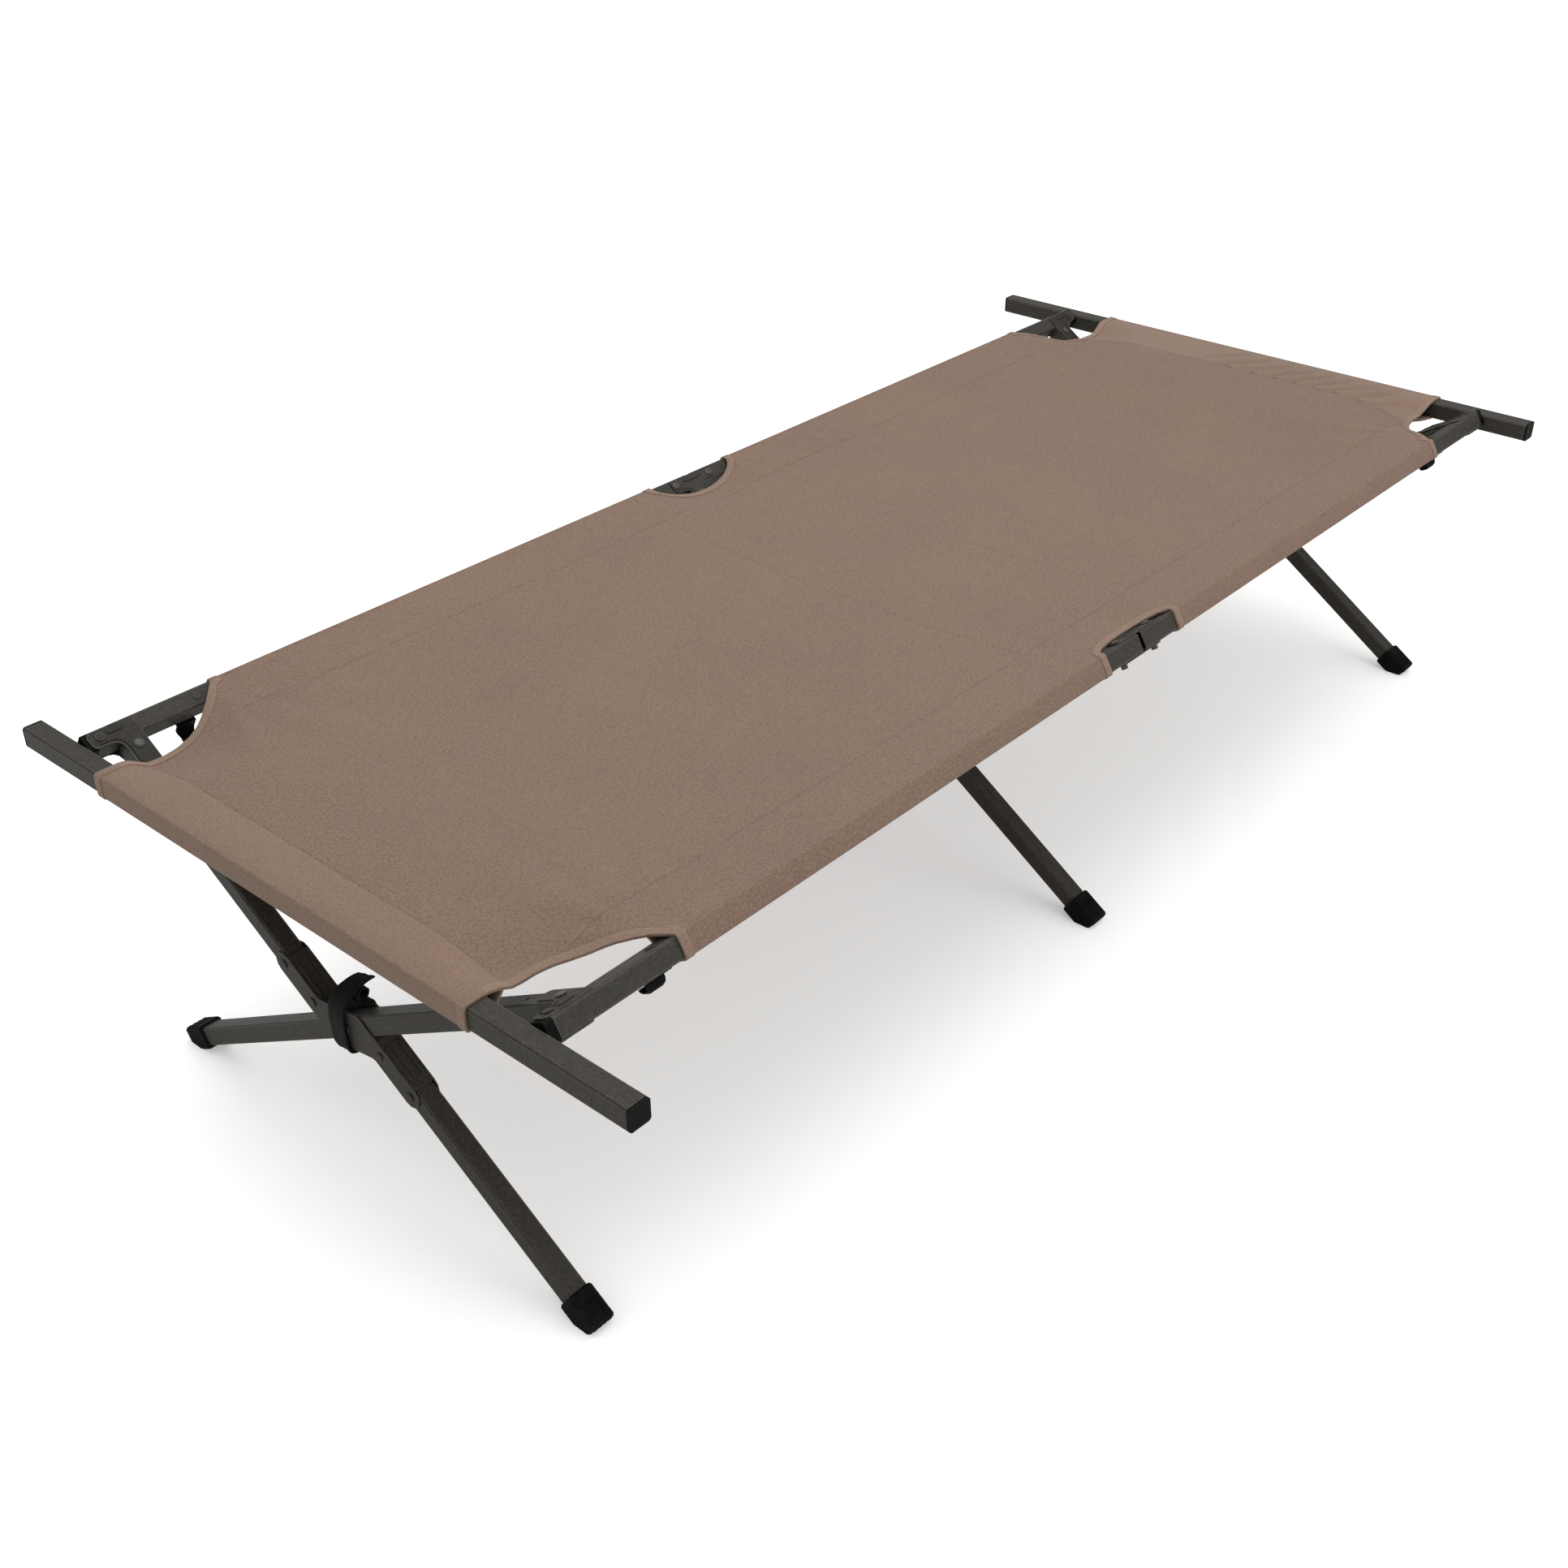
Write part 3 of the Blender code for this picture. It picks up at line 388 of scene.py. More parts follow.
def build_edge_wear_and_highlight_group():
    inputs = [
        ("Vector", "vector", None),
        ("Color", "color", None),
        ("Worn And Highlit", "color", (0.20, 0.185, 0.155, 1)),
        ("Radius", "float", 0.0010),
        ("Amount", "float", 0.55),
        ("Crevice Shade", "float", 0.85),
    ]
    outputs = [("Color", "color"), ("Mask", "float")]
    group, given, result = start_group("worn_and_highlit_edges", inputs, outputs)
    averaged = node(group, "Bevel", {"Radius": given.outputs["Radius"]}, samples=6)
    own = node(group, "NewGeometry").outputs["Normal"]
    both = {0: averaged.outputs["Normal"], 1: own}
    likeness = node(group, "VectorMath", both, operation="DOT_PRODUCT").outputs["Value"]
    # Paler along corners: partly worn paint, partly a painted highlight.
    edge = ramp(group, likeness, 0.995, 0.93)
    spots = speckle(group, given.outputs["Vector"], 55.0, 4.0, 0.7)
    patchy = times(group, edge, ramp(group, spots, 0.34, 0.62, 0.25, 1))
    mask = times(group, patchy, given.outputs["Amount"])
    # Darker where little open air surrounds the surface: painted shade in crevices.
    open_air = node(group, "AmbientOcclusion", {"Distance": CREVICE}, samples=4).outputs["AO"]
    crevice_shade = times(group, ramp(group, open_air, 0.88, 0.50), given.outputs["Crevice Shade"])
    edge_and_crevice_colour = mix_colours(group, mask, given.outputs["Color"], given.outputs["Worn And Highlit"])
    edge_and_crevice_colour = mix_colours(group, crevice_shade, edge_and_crevice_colour, CREVICE_SHADE_COLOUR)
    group.links.new(edge_and_crevice_colour, result.inputs["Color"])
    group.links.new(mask, result.inputs["Mask"])
    return group


EDGE_WEAR_AND_HIGHLIGHT = build_edge_wear_and_highlight_group()
print("group:", EDGE_WEAR_AND_HIGHLIGHT.name, "with", len(EDGE_WEAR_AND_HIGHLIGHT.nodes), "nodes")

# %% [markdown]
# The tubes and most of the brackets are steel in hammered paint. The corner brackets
# have a darker enamel, and their pale edges, partly rubbed paint and partly painted
# highlight, are stronger. One function makes both, from other tones and another
# strength of those pale edges.

# %% Steel finishes
PAINT_GLOSS = 0.16
ENAMEL_TONES = {
    "Pool": (0.0100, 0.0089, 0.0075, 1),
    "Rim": (0.0270, 0.0240, 0.0198, 1),
    "Rust": (0.0260, 0.0190, 0.0130, 1),
    "Moss": (0.0135, 0.0135, 0.0115, 1),
}


def build_steel(name, worn_and_highlit, tones):
    material, tree, shader = start_material(name, PAINT_GLOSS)
    place = object_place(tree)
    paint = place_group(tree, MOTTLE, {"Vector": place, **tones})
    coat = {"Vector": place, "Color": paint.outputs["Color"], "Amount": worn_and_highlit}
    colour = place_group(tree, EDGE_WEAR_AND_HIGHLIGHT, coat).outputs["Color"]
    dents = bump(tree, paint.outputs["Height"], 0.0004, 0.25)
    wire(tree, shader, base_color=colour, roughness=paint.outputs["Roughness"], normal=dents)
    return material


STEEL = build_steel("hammered_steel", 0.55, {})
# The corner brackets get stronger pale edges, partly a painted highlight.
ENAMEL = build_steel("bracket_enamel", 0.90, ENAMEL_TONES)
print("steel finishes:", STEEL.name, ENAMEL.name)

# %% [markdown]
# A rivet is bare steel that has tarnished. It looks only half like metal, so its shader
# is half metallic, in a blotchy dark grey.

# %% Rivet finish
RIVET_DARK = (0.022, 0.020, 0.018, 1)
RIVET_PALE = (0.075, 0.070, 0.062, 1)


def build_rivet_steel():
    material, tree, shader = start_material("rivet_steel", metallic=0.5)
    place = object_place(tree)
    tarnish = speckle(tree, place, 420.0, 3.0, 0.6)
    metal = mix_colours(tree, ramp(tree, tarnish, 0.35, 0.65), RIVET_DARK, RIVET_PALE)
    # The rivet's edges get the same pale line, partly wear and partly painted highlight, and
    # painted shade in crevices.
    coat = {"Vector": place, "Color": metal, "Radius": 0.0008}
    colour = place_group(tree, EDGE_WEAR_AND_HIGHLIGHT, coat).outputs["Color"]
    gloss = ramp(tree, tarnish, 0.3, 0.7, 0.32, 0.55)
    wire(tree, shader, base_color=colour, roughness=gloss, normal=bump(tree, tarnish, 0.0002, 0.3))
    return material


RIVET = build_rivet_steel()
print("rivet finish:", RIVET.name)

# %% [markdown]
# Plugs, caps and hooks are black moulded plastic, and the feet are black rubber. Both
# have a fine grain, a little dust and paler edges, partly rubbed and partly painted
# highlight, so one function makes them.

# %% Plastic and rubber finishes
MOULD_GLOSS = 0.05
MOULD_WORN_AND_HIGHLIT = (0.03, 0.03, 0.029, 1)


def build_dark_mould(name, base, dusty, roughness, grain):
    material, tree, shader = start_material(name, MOULD_GLOSS)
    place = object_place(tree)
    dust = ramp(tree, speckle(tree, place, 45.0, 4.0, 0.65), 0.42, 0.7)
    plain_colour = mix_colours(tree, dust, (*base, 1), (*dusty, 1))
    # Paler edges: partly rubbed, partly a painted highlight.
    coat = {"Vector": place, "Color": plain_colour, "Worn And Highlit": MOULD_WORN_AND_HIGHLIT}
    coat.update({"Radius": 0.001, "Amount": 0.5})
    colour = place_group(tree, EDGE_WEAR_AND_HIGHLIGHT, coat).outputs["Color"]
    gloss = ramp(tree, dust, 0, 1, roughness, roughness + 0.15)
    relief = bump(tree, speckle(tree, place, grain, 2.0, 0.5), 0.00025, 0.4)
    wire(tree, shader, base_color=colour, roughness=gloss, normal=relief)
    return material


PLASTIC = build_dark_mould(
    "black_plastic",
    base=(0.0024, 0.0022, 0.0022),
    dusty=(0.0045, 0.0043, 0.0040),
    roughness=0.55,
    grain=900.0,
)
RUBBER = build_dark_mould(
    "black_rubber",
    base=(0.0032, 0.0030, 0.0028),
    dusty=(0.0085, 0.0078, 0.0072),
    roughness=0.65,
    grain=700.0,
)
print("moulded finishes:", PLASTIC.name, RUBBER.name)

# %% [markdown]
# A piece of the frame keeps its shape and only needs a finish. Its name says what it
# is: the first of these words that the name holds picks the finish, and all the rest is
# painted steel. The canvas and the strap are replaced further down.

# %% Finish the pieces of the frame
FINISH_OF_WORD = {
    "rivet": RIVET,
    "pin": RIVET,
    "foot": RUBBER,
    "corner_bracket": ENAMEL,
    "plug": PLASTIC,
    "cap": PLASTIC,
    "hook": PLASTIC,
    "strap": PLASTIC,
}


def finish_for(name):
    for word, finish in FINISH_OF_WORD.items():
        if word in name:
            return finish
    return STEEL


for name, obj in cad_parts.items():
    for holder in obj.material_slots:
        holder.material = finish_for(name)
print("finished nodes:", len(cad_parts))

# %% [markdown]
# The canvas is one rectangle of plain-woven cloth with four hollowed corners and a
# notch at the middle of each long side. Its ends and sides are turned under round the
# bars and rails and sewn down, which makes the pockets that hold the frame: sleeves
# along the rails and hems round the bars. It hangs from those pockets, so it dips a
# little in the middle. It has also slipped on its frame, so the left notch is deeper
# than the right one, and the far hem is deeper than the near one.
#
# A cloth simulation would start from flat cloth and pull it over the frame. Here the
# cloth is stretched tight and every edge is known, so its surface is written as a
# height over the floor, with small terms for sag, seams, puckers and creases. A grid
# that follows the edges then takes that shape. The mesh stays even, and the same
# height also places the stitches.

# %% Where the cloth runs
CANVAS = 0.0012
FIT = 0.0003
BAR_X = 0.9653
BAR_HALF = 0.0127
BAR_Z = 0.4175
BAR_INNER_X = BAR_X - BAR_HALF
BAR_OFF = BAR_HALF + FIT + CANVAS / 2
CLOTH_OFF = TUBE_HALF + FIT + CANVAS / 2
CLOTH_TURN = 0.0030
SLEEVE_END_X = 0.787
SLEEVE_DEPTH = 0.078
HEM_HALF_WIDTH = 0.298
HEM_DEPTH = {"near": 0.058, "far": 0.095}
STITCH_INSET = 0.002
EDGE = {side: rail_point(side, -CLOTH_OFF + CLOTH_TURN, CLOTH_OFF) for side in SIGN}
EDGE_Y = {side: abs(place[0]) for side, place in EDGE.items()}
STITCH_Y = {side: EDGE_Y[side] - SLEEVE_DEPTH + STITCH_INSET for side in SIGN}


def side_of(y):
    return RIGHT if y < 0 else LEFT


def hem_depth(x):
    return HEM_DEPTH["near" if x < 0 else "far"]


def hem_stitch_x(x):
    """Distance from the cot's middle to the row of stitches of the nearer hem."""
    return BAR_X + BAR_HALF + FIT - hem_depth(x) + STITCH_INSET


print("bed half widths", {side: round(y, 4) for side, y in EDGE_Y.items()})

# %% [markdown]
# Four small curves do most of the shaping that follows. One rises smoothly from 0 to 1,
# one falls from 1 to 0, and one rises and falls back. The fourth is a narrow groove,
# which is 1 on its line and nearly 0 a few millimetres away.

# %% Smooth curves
def smooth_step(value):
    value = min(max(value, 0.0), 1.0)
    return value * value * (3 - 2 * value)


def rise(value, start, width):
    return smooth_step((value - start) / width)


def fall(value, start, width):
    return 1 - smooth_step((value - start) / width)


def swell(value, start, rise_width, end, fall_width):
    """Rises from start on, and falls back from end on."""
    return rise(value, start, rise_width) * fall(value, end, fall_width)


def groove(distance, width=0.0022):
    return math.exp(-((distance / width) ** 2))


print("halfway up a rise:", rise(0.5, 0.0, 1.0))

# %% [markdown]
# Beside the rails the edge of the bed is a fold and runs straight. At the corners it
# curves in to the narrower hems, and at each notch it dips in a half ellipse. There the
# cloth is cut, and binding tape covers the raw edge. Where the edge slants, the tape
# reaches further in across the bed.

# %% The edge of the bed and its tape
NOTCH_HALF = 0.075
NOTCH_DEPTH = {"right": 0.018, "left": 0.033}
CUT_END_X = 0.905
CUT_POWER = 2.25
CUT_HOLLOW = 0.003
TAPE = 0.010
TAPE_LEAST = 0.0015
TAPE_WIDEN = 0.45
TAPE_OVERRUN = 0.002
SLOPE_STEP = 0.0005


def half_ellipse(reach, half):
    return math.sqrt(max(0.0, 1 - (reach / half) ** 2))


def half_width(x, side):
    """Where the cloth ends across the bed."""
    reach = abs(x)
    if reach < NOTCH_HALF:
        return EDGE_Y[side] - NOTCH_DEPTH[side] * half_ellipse(reach, NOTCH_HALF)
    if reach <= SLEEVE_END_X:
        return EDGE_Y[side]
    along = min((reach - SLEEVE_END_X) / (CUT_END_X - SLEEVE_END_X), 1.0)
    hollow = swell(reach, 0.84, 0.06, 0.915, 0.035)
    cut = (EDGE_Y[side] - HEM_HALF_WIDTH) * (1 - along) ** CUT_POWER
    return HEM_HALF_WIDTH + cut - CUT_HOLLOW * hollow


def cut_slope(x, side):
    return (half_width(abs(x) + SLOPE_STEP, side) - half_width(abs(x), side)) / SLOPE_STEP


def tape_depth(x, side):
    """How far in from the edge, across the bed, the binding tape reaches."""
    reach = abs(x)
    around = NOTCH_HALF + TAPE
    if reach < around:
        inner = EDGE_Y[side] - (NOTCH_DEPTH[side] + TAPE) * half_ellipse(reach, around)
        return max(half_width(x, side) - inner, TAPE_LEAST)
    if reach <= SLEEVE_END_X - TAPE:
        return min(TAPE, TAPE_LEAST + (reach - around) * 0.3)
    if reach < SLEEVE_END_X + TAPE_OVERRUN:
        widened = rise(reach, SLEEVE_END_X - TAPE, TAPE + TAPE_OVERRUN)
        return TAPE * (1 + TAPE_WIDEN * widened)
    return TAPE * min(math.sqrt(1 + cut_slope(x, side) ** 2), 1 + TAPE_WIDEN)


print("half width at the bars:", round(half_width(BAR_X, RIGHT), 4))

# %% [markdown]
# The height of the cloth is a sum of plain causes, and the large ones come first. The
# bed sags between the rails and is pulled flat at the bars, which lie a little lower.
# Where neither rail nor bar holds an edge up, at the notches and corners, it droops.

# %% Sag and droop
SAG = 0.020
END_BLEND_X = 0.560
NOTCH_DROOP = {"right": 0.005, "left": 0.012}
NOTCH_DROOP_REACH = 0.085
CORNER_DROOP = 0.0145
CORNER_DROOP_REACH = 0.11


def bed_height(x, y):
    side = side_of(y)
    edge_z = EDGE[side][1]
    bar_z = BAR_Z + BAR_OFF
    span = 1 - min(abs(y) / EDGE_Y[side], 1.0) ** 2
    ends = rise(abs(x), END_BLEND_X, BAR_INNER_X - END_BLEND_X)
    drop = rise(abs(x), SLEEVE_END_X, BAR_INNER_X - SLEEVE_END_X)
    return edge_z - SAG * span * (1 - ends) - (edge_z - bar_z) * drop


def droop(x, y):
    """How far a free edge hangs, where neither rail nor bar holds the cloth up."""
    reach, side = abs(x), side_of(y)
    from_edge = half_width(x, side) - abs(y)
    if reach < NOTCH_HALF:
        hang = NOTCH_DROOP[side] * (1 - (reach / NOTCH_HALF) ** 2)
        return hang * fall(from_edge, 0, NOTCH_DROOP_REACH)
    hang = swell(reach, SLEEVE_END_X, 0.075, 0.912, 0.040)
    return CORNER_DROOP * hang * fall(from_edge, 0, CORNER_DROOP_REACH)


print("middle of the bed, without folds, is", round(bed_height(0, 0), 4), "m high")

# %% [markdown]
# Then come the small causes. A row of stitches sinks into the cloth. Pockets pucker
# where the thread has drawn them in, most beside the left notch and on the far hem,
# where the puckers grow to gathers. Long soft folds run in from the corners, where the
# pull of two pockets meets, and a faint cross remains where the cloth was folded in its
# packet.

# %% Seams, gathers and folds
SEAM_X = (-0.125, 0.105)
SEAM_DIP = (0.0007, 0.0004)
POCKET_DIP = 0.0006
POCKET_DIP_WIDTH = 0.0020
CORNER_FOLD = 0.0011
CORNER_FOLD_FROM = (SLEEVE_END_X + 0.01, 0.335)
SLEEVE_PUCKER = 0.00022
NOTCH_PUCKER = 0.0010
HEM_PUCKER = 0.00018
HEM_GATHER = 0.0027
PACKET_FOLD = 0.00016
PACKET_FOLD_WIDTH = 0.004
PACKET_FOLD_Y = 0.012
PACKET_FOLD_X = (0.49, -0.47)


def seam_dip(x, y):
    stitch_y = STITCH_Y[side_of(y)]
    inside = fall(abs(y), stitch_y - 0.002, 0.004)
    dip = 0.0
    for depth, seam_x in zip(SEAM_DIP, SEAM_X):
        dip += depth * groove(x - seam_x) * inside
    beside_sleeve = fall(abs(x), 0.79, 0.03)
    dip += POCKET_DIP * groove(abs(y) - stitch_y, POCKET_DIP_WIDTH) * beside_sleeve
    dip += POCKET_DIP * groove(abs(x) - hem_stitch_x(x), POCKET_DIP_WIDTH)
    return dip


def corner_folds(x, y):
    """Soft pull lines that fan in from each hollowed corner."""
    from_x, from_y = CORNER_FOLD_FROM[0] - abs(x), CORNER_FOLD_FROM[1] - abs(y)
    away = math.hypot(from_x, from_y)
    if away < 0.001:
        return 0.0
    turn = math.atan2(from_y, from_x)
    wander = 2.0 * noise.noise((x * 3, y * 3, 4.0))
    return CORNER_FOLD * swell(away, 0, 0.05, 0, 0.42) * math.sin(turn * 11 + wander)


def ripple(x, y):
    """Waves along a hem, from -1 to 1."""
    return math.sin(y * 170 + x * 120 + 4 * noise.noise((y * 6, x, 9.1)))


def gathered(x, y):
    """Where on the far hem the thread has drawn the cloth into gathers, from 0 to 1."""
    if x < hem_stitch_x(1):
        return 0.0
    return swell(y, -0.285, 0.07, 0, 0.12)


def puckers(x, y):
    """Small waves that the sewing draws into the pockets."""
    side = side_of(y)
    in_sleeve = rise(abs(y), STITCH_Y[side] - 0.012, 0.016)
    wander = noise.noise((x * 7, y * 3, 1.3))
    fine = math.sin(x * 260 + abs(y) * 150 + 5 * wander)
    high = SLEEVE_PUCKER
    if side == LEFT:
        high += NOTCH_PUCKER * swell(x, 0.07, 0.04, 0.16, 0.22)
    uneven = 0.6 + 0.8 * noise.noise((x * 11, y * 5, 7.7)) ** 2
    in_hem = rise(abs(x), hem_stitch_x(x) - 0.012, 0.016)
    in_hem *= fall(abs(x), BAR_INNER_X - 0.012, 0.012)
    hem_high = HEM_PUCKER + HEM_GATHER * gathered(x, y)
    return high * in_sleeve * fine * uneven + hem_high * in_hem * ripple(x, y)


def creases(x, y):
    """The faint cross of the packet, and soft waves over the middle of the bed."""
    lines = [y - PACKET_FOLD_Y] + [x - fold_x for fold_x in PACKET_FOLD_X]
    fold = PACKET_FOLD * sum(groove(line, PACKET_FOLD_WIDTH) for line in lines)
    soft = 0.0008 * noise.noise((x * 2.6, y * 3.4, 0.0))
    soft += 0.0004 * noise.noise((x * 9.0, y * 12.0, 2.0))
    return (soft - fold) * fall(abs(y), 0.24, 0.08)


def cloth_height(x, y):
    settle = fall(abs(x), BAR_INNER_X - 0.03, 0.03)
    extra = corner_folds(x, y) + creases(x, y)
    return bed_height(x, y) - seam_dip(x, y) - droop(x, y) + puckers(x, y) + extra * settle


print("middle of the bed is", round(cloth_height(0, 0), 4), "m high")

# %% [markdown]
# Round each rail the cloth turns three soft corners and comes back up under the bed,
# where it lies flat for a centimetre and is sewn. The turns are drawn as short arcs, so
# that the pocket reads as folded cloth and not as a bent plate. The turned-under part
# keeps a cloth's thickness from the bed.

# %% Paths round the rails and the bars
UNDER = CANVAS + FIT
STITCH_FLAT = 0.010
ARC_STEPS, FLAP_STEPS, FLAT_STEPS = 4, 5, 3
FLAP_SAG = 0.0012
SAMPLE_X = 0.4


def arc(centre, start_degrees, sweep_degrees, radius):
    points = []
    for k in range(ARC_STEPS + 1):
        turn = math.radians(start_degrees + sweep_degrees * k / ARC_STEPS)
        points.append((centre[0] + radius * math.cos(turn), centre[1] + radius * math.sin(turn)))
    return points


def wrap_section(off, turn):
    """Section round a square tube, from past its top corner, out, down and back in."""
    inner = off - turn
    points = arc((-inner, inner), 90, 90, turn)[1:]
    points += arc((-inner, -inner), 180, 90, turn)
    points += arc((inner, -inner), 270, 55, turn)
    return points


def flap(start, meets, ends, height_at):
    """From the last turn up to where it meets the bed, then flat under it to its end."""
    top = height_at(meets) - UNDER
    points = []
    for k in range(1, FLAP_STEPS + 1):
        share = k / FLAP_STEPS
        across = start[0] + (meets - start[0]) * share
        up = start[1] + (top - start[1]) * share - FLAP_SAG * math.sin(math.pi * share)
        points.append((across, up))
    for k in range(1, FLAT_STEPS + 1):
        across = meets + (ends - meets) * k / FLAT_STEPS
        points.append((across, height_at(across) - UNDER))
    return points


def sleeve_path(side, x):
    path = [rail_point(side, down, up) for down, up in wrap_section(CLOTH_OFF, CLOTH_TURN)]
    meets = SIGN[side] * (EDGE_Y[side] - (SLEEVE_DEPTH - STITCH_FLAT))
    ends = SIGN[side] * (EDGE_Y[side] - SLEEVE_DEPTH)
    return path + flap(path[-1], meets, ends, lambda y: cloth_height(x, y))


def hem_path(end, y):
    section = wrap_section(BAR_OFF, CLOTH_TURN)
    path = [(end * (BAR_X - across), BAR_Z + up) for across, up in section]
    meets = end * (BAR_X + BAR_OFF - (hem_depth(end) - STITCH_FLAT))
    ends = end * (BAR_X + BAR_OFF - hem_depth(end))
    return path + flap(path[-1], meets, ends, lambda x: cloth_height(x, y))


WRAP_STEPS = len(sleeve_path(RIGHT, SAMPLE_X))
HEM_STEPS = len(hem_path(1, 0.0))
print("points round a rail:", WRAP_STEPS, "round a bar:", HEM_STEPS)

# %% [markdown]
# The grid's lines are not evenly spaced. They crowd where something happens: at the
# edges of the tape, at each row of stitches, and round the notches. Across the bed the
# lines stay straight as far as the stitches and then spread to follow the cut edge.

# %% Grid lines
FLAT_END = 0.3055
INNER_Y = 0.270
ROW_END = 0.3723
FAN_LEAST = 0.012
COLUMN_STEP, CORNER_STEP = 0.0072, 0.0062
ROW_STEP, OUTER_ROW_STEP = 0.0085, 0.008
LINE_OFFSETS = (-0.004, -0.0015, 0, 0.0015, 0.004)


def spread(low, high, step):
    count = max(1, round((high - low) / step))
    return [low + (high - low) * k / count for k in range(count)]


def around_line(centre):
    return [centre + offset for offset in LINE_OFFSETS]


def merged(base, extra, clear=0.0035):
    """Both lists in order, without base values that are too close to an extra one."""
    kept = [value for value in base if all(abs(value - other) > clear for other in extra)]
    return sorted(kept + extra)


def build_columns():
    """Distances from the cot's middle to the lines across the bed."""
    half = [NOTCH_HALF * math.sin(math.radians(turn)) for turn in range(8, 90, 8)]
    half += [NOTCH_HALF, NOTCH_HALF + TAPE / 2, NOTCH_HALF + TAPE]
    half += spread(NOTCH_HALF + TAPE, SLEEVE_END_X - TAPE, COLUMN_STEP)[1:]
    half += [SLEEVE_END_X - TAPE, SLEEVE_END_X - TAPE / 2, SLEEVE_END_X]
    outer = spread(SLEEVE_END_X, BAR_INNER_X, CORNER_STEP)[1:] + [BAR_INNER_X]
    near, far = (half + merged(outer, around_line(hem_stitch_x(end))) for end in (-1, 1))
    columns = [-x for x in reversed(near)] + [0.0] + far
    seams = [x for seam in SEAM_X for x in around_line(seam)]
    return merged(columns, seams)


def build_rows():
    """Distances from the bed's middle line, as they are beside the sleeves, up to the tape."""
    rows = spread(0.0, INNER_Y, ROW_STEP) + spread(INNER_Y, ROW_END, OUTER_ROW_STEP) + [ROW_END]
    return merged(rows, around_line(STITCH_Y[RIGHT]))


COLUMNS = build_columns()
ROW_LIST = build_rows()
ROWS = [("edge", -2), ("edge", -1)] + [("row", -y) for y in reversed(ROW_LIST)]
ROWS += [("row", y) for y in ROW_LIST[1:]] + [("edge", 1), ("edge", 2)]
LAST_COLUMN, LAST_ROW = len(COLUMNS) - 1, len(ROWS) - 1


def row_place(x, row):
    """Signed distance across the bed of one grid line at a place along the bed."""
    kind, value = row
    side = RIGHT if value < 0 else LEFT
    edge, tape = half_width(x, side), tape_depth(x, side)
    if kind == "edge":
        return SIGN[side] * (edge - tape * (2 - abs(value)) / 2)
    limit = edge - tape
    hold = min(FLAT_END, limit - FAN_LEAST)
    reach = abs(value)
    if reach <= INNER_Y:
        placed = hold * reach / INNER_Y if hold < INNER_Y else reach
    elif reach <= FLAT_END:
        start = min(INNER_Y, hold)
        placed = start + (hold - start) * (reach - INNER_Y) / (FLAT_END - INNER_Y)
    else:
        placed = hold + (limit - hold) * (reach - FLAT_END) / (ROW_LIST[-1] - FLAT_END)
    return SIGN[side] * placed


print("grid:", len(COLUMNS), "by", len(ROWS))

# %% [markdown]
# One flat grid becomes the whole cloth. Cells that would lie in the hollowed corners
# and notches are deleted, the rest move to the bed, round a rail or round a bar. Each
# corner of a face also keeps its place on the flat cloth in metres as a UV map, so the
# weave keeps its size and runs on round every fold.

# %% Places on the grid
CLOSE = 1e-6
FLAP_TAPER = 0.020


def clamp(value, low, high):
    return max(low, min(high, value))


def has_sleeve(i):
    if not 0 <= i <= LAST_COLUMN:
        return False
    return NOTCH_HALF - CLOSE <= abs(COLUMNS[i]) <= SLEEVE_END_X + CLOSE


def keeps_cell(cells):
    """Whether cloth lies in a cell: on the bed and the hems always, beside it in a sleeve."""
    if all(0 <= j <= LAST_ROW for _, j in cells):
        return True
    if not all(has_sleeve(i) for i, _ in cells):
        return False
    xs = [COLUMNS[i] for i, _ in cells]
    return min(xs) > 0 or max(xs) < 0


def running_length(line):
    """Distance along a line of places up to each of them."""
    lengths = [0.0]
    for before, after in zip(line, line[1:]):
        lengths.append(lengths[-1] + math.dist(before, after))
    return lengths


def cloth_vertex(i, j):
    """Place of a grid point, and its place on the flat cloth."""
    column, row = clamp(i, 0, LAST_COLUMN), clamp(j, 0, LAST_ROW)
    x = COLUMNS[column]
    y = row_place(x, ROWS[row])
    flat = [x, y]
    z = cloth_height(x, y)
    if i != column:
        end = -1 if i < 0 else 1
        step = -i - 1 if i < 0 else i - LAST_COLUMN - 1
        path = [(x, z)] + hem_path(end, y)
        flat[0] = x + end * running_length(path[: step + 2])[-1]
        x, z = path[step + 1]
        inward = smooth_step((BAR_INNER_X - abs(x)) / (hem_depth(x) - 2 * BAR_HALF))
        y *= 1 - FLAP_TAPER * inward * rise(abs(y), INNER_Y, HEM_HALF_WIDTH - INNER_Y)
    elif j != row:
        side = RIGHT if j < 0 else LEFT
        step = -j - 1 if j < 0 else j - LAST_ROW - 1
        path = [(y, z)] + sleeve_path(side, x)
        flat[1] = y + SIGN[side] * running_length(path[: step + 2])[-1]
        y, z = path[step + 1]
    return Vector((x, y, z)), flat


print("columns with a sleeve:", sum(has_sleeve(i) for i in range(len(COLUMNS))))

# %% [markdown]
# Now the grid is laid. Every point remembers its column and row, so the tape can be cut
# out of the same grid later. A value on each point says how deep it lies in a valley
# between two gathers, and the cloth's material darkens there as painted shade.

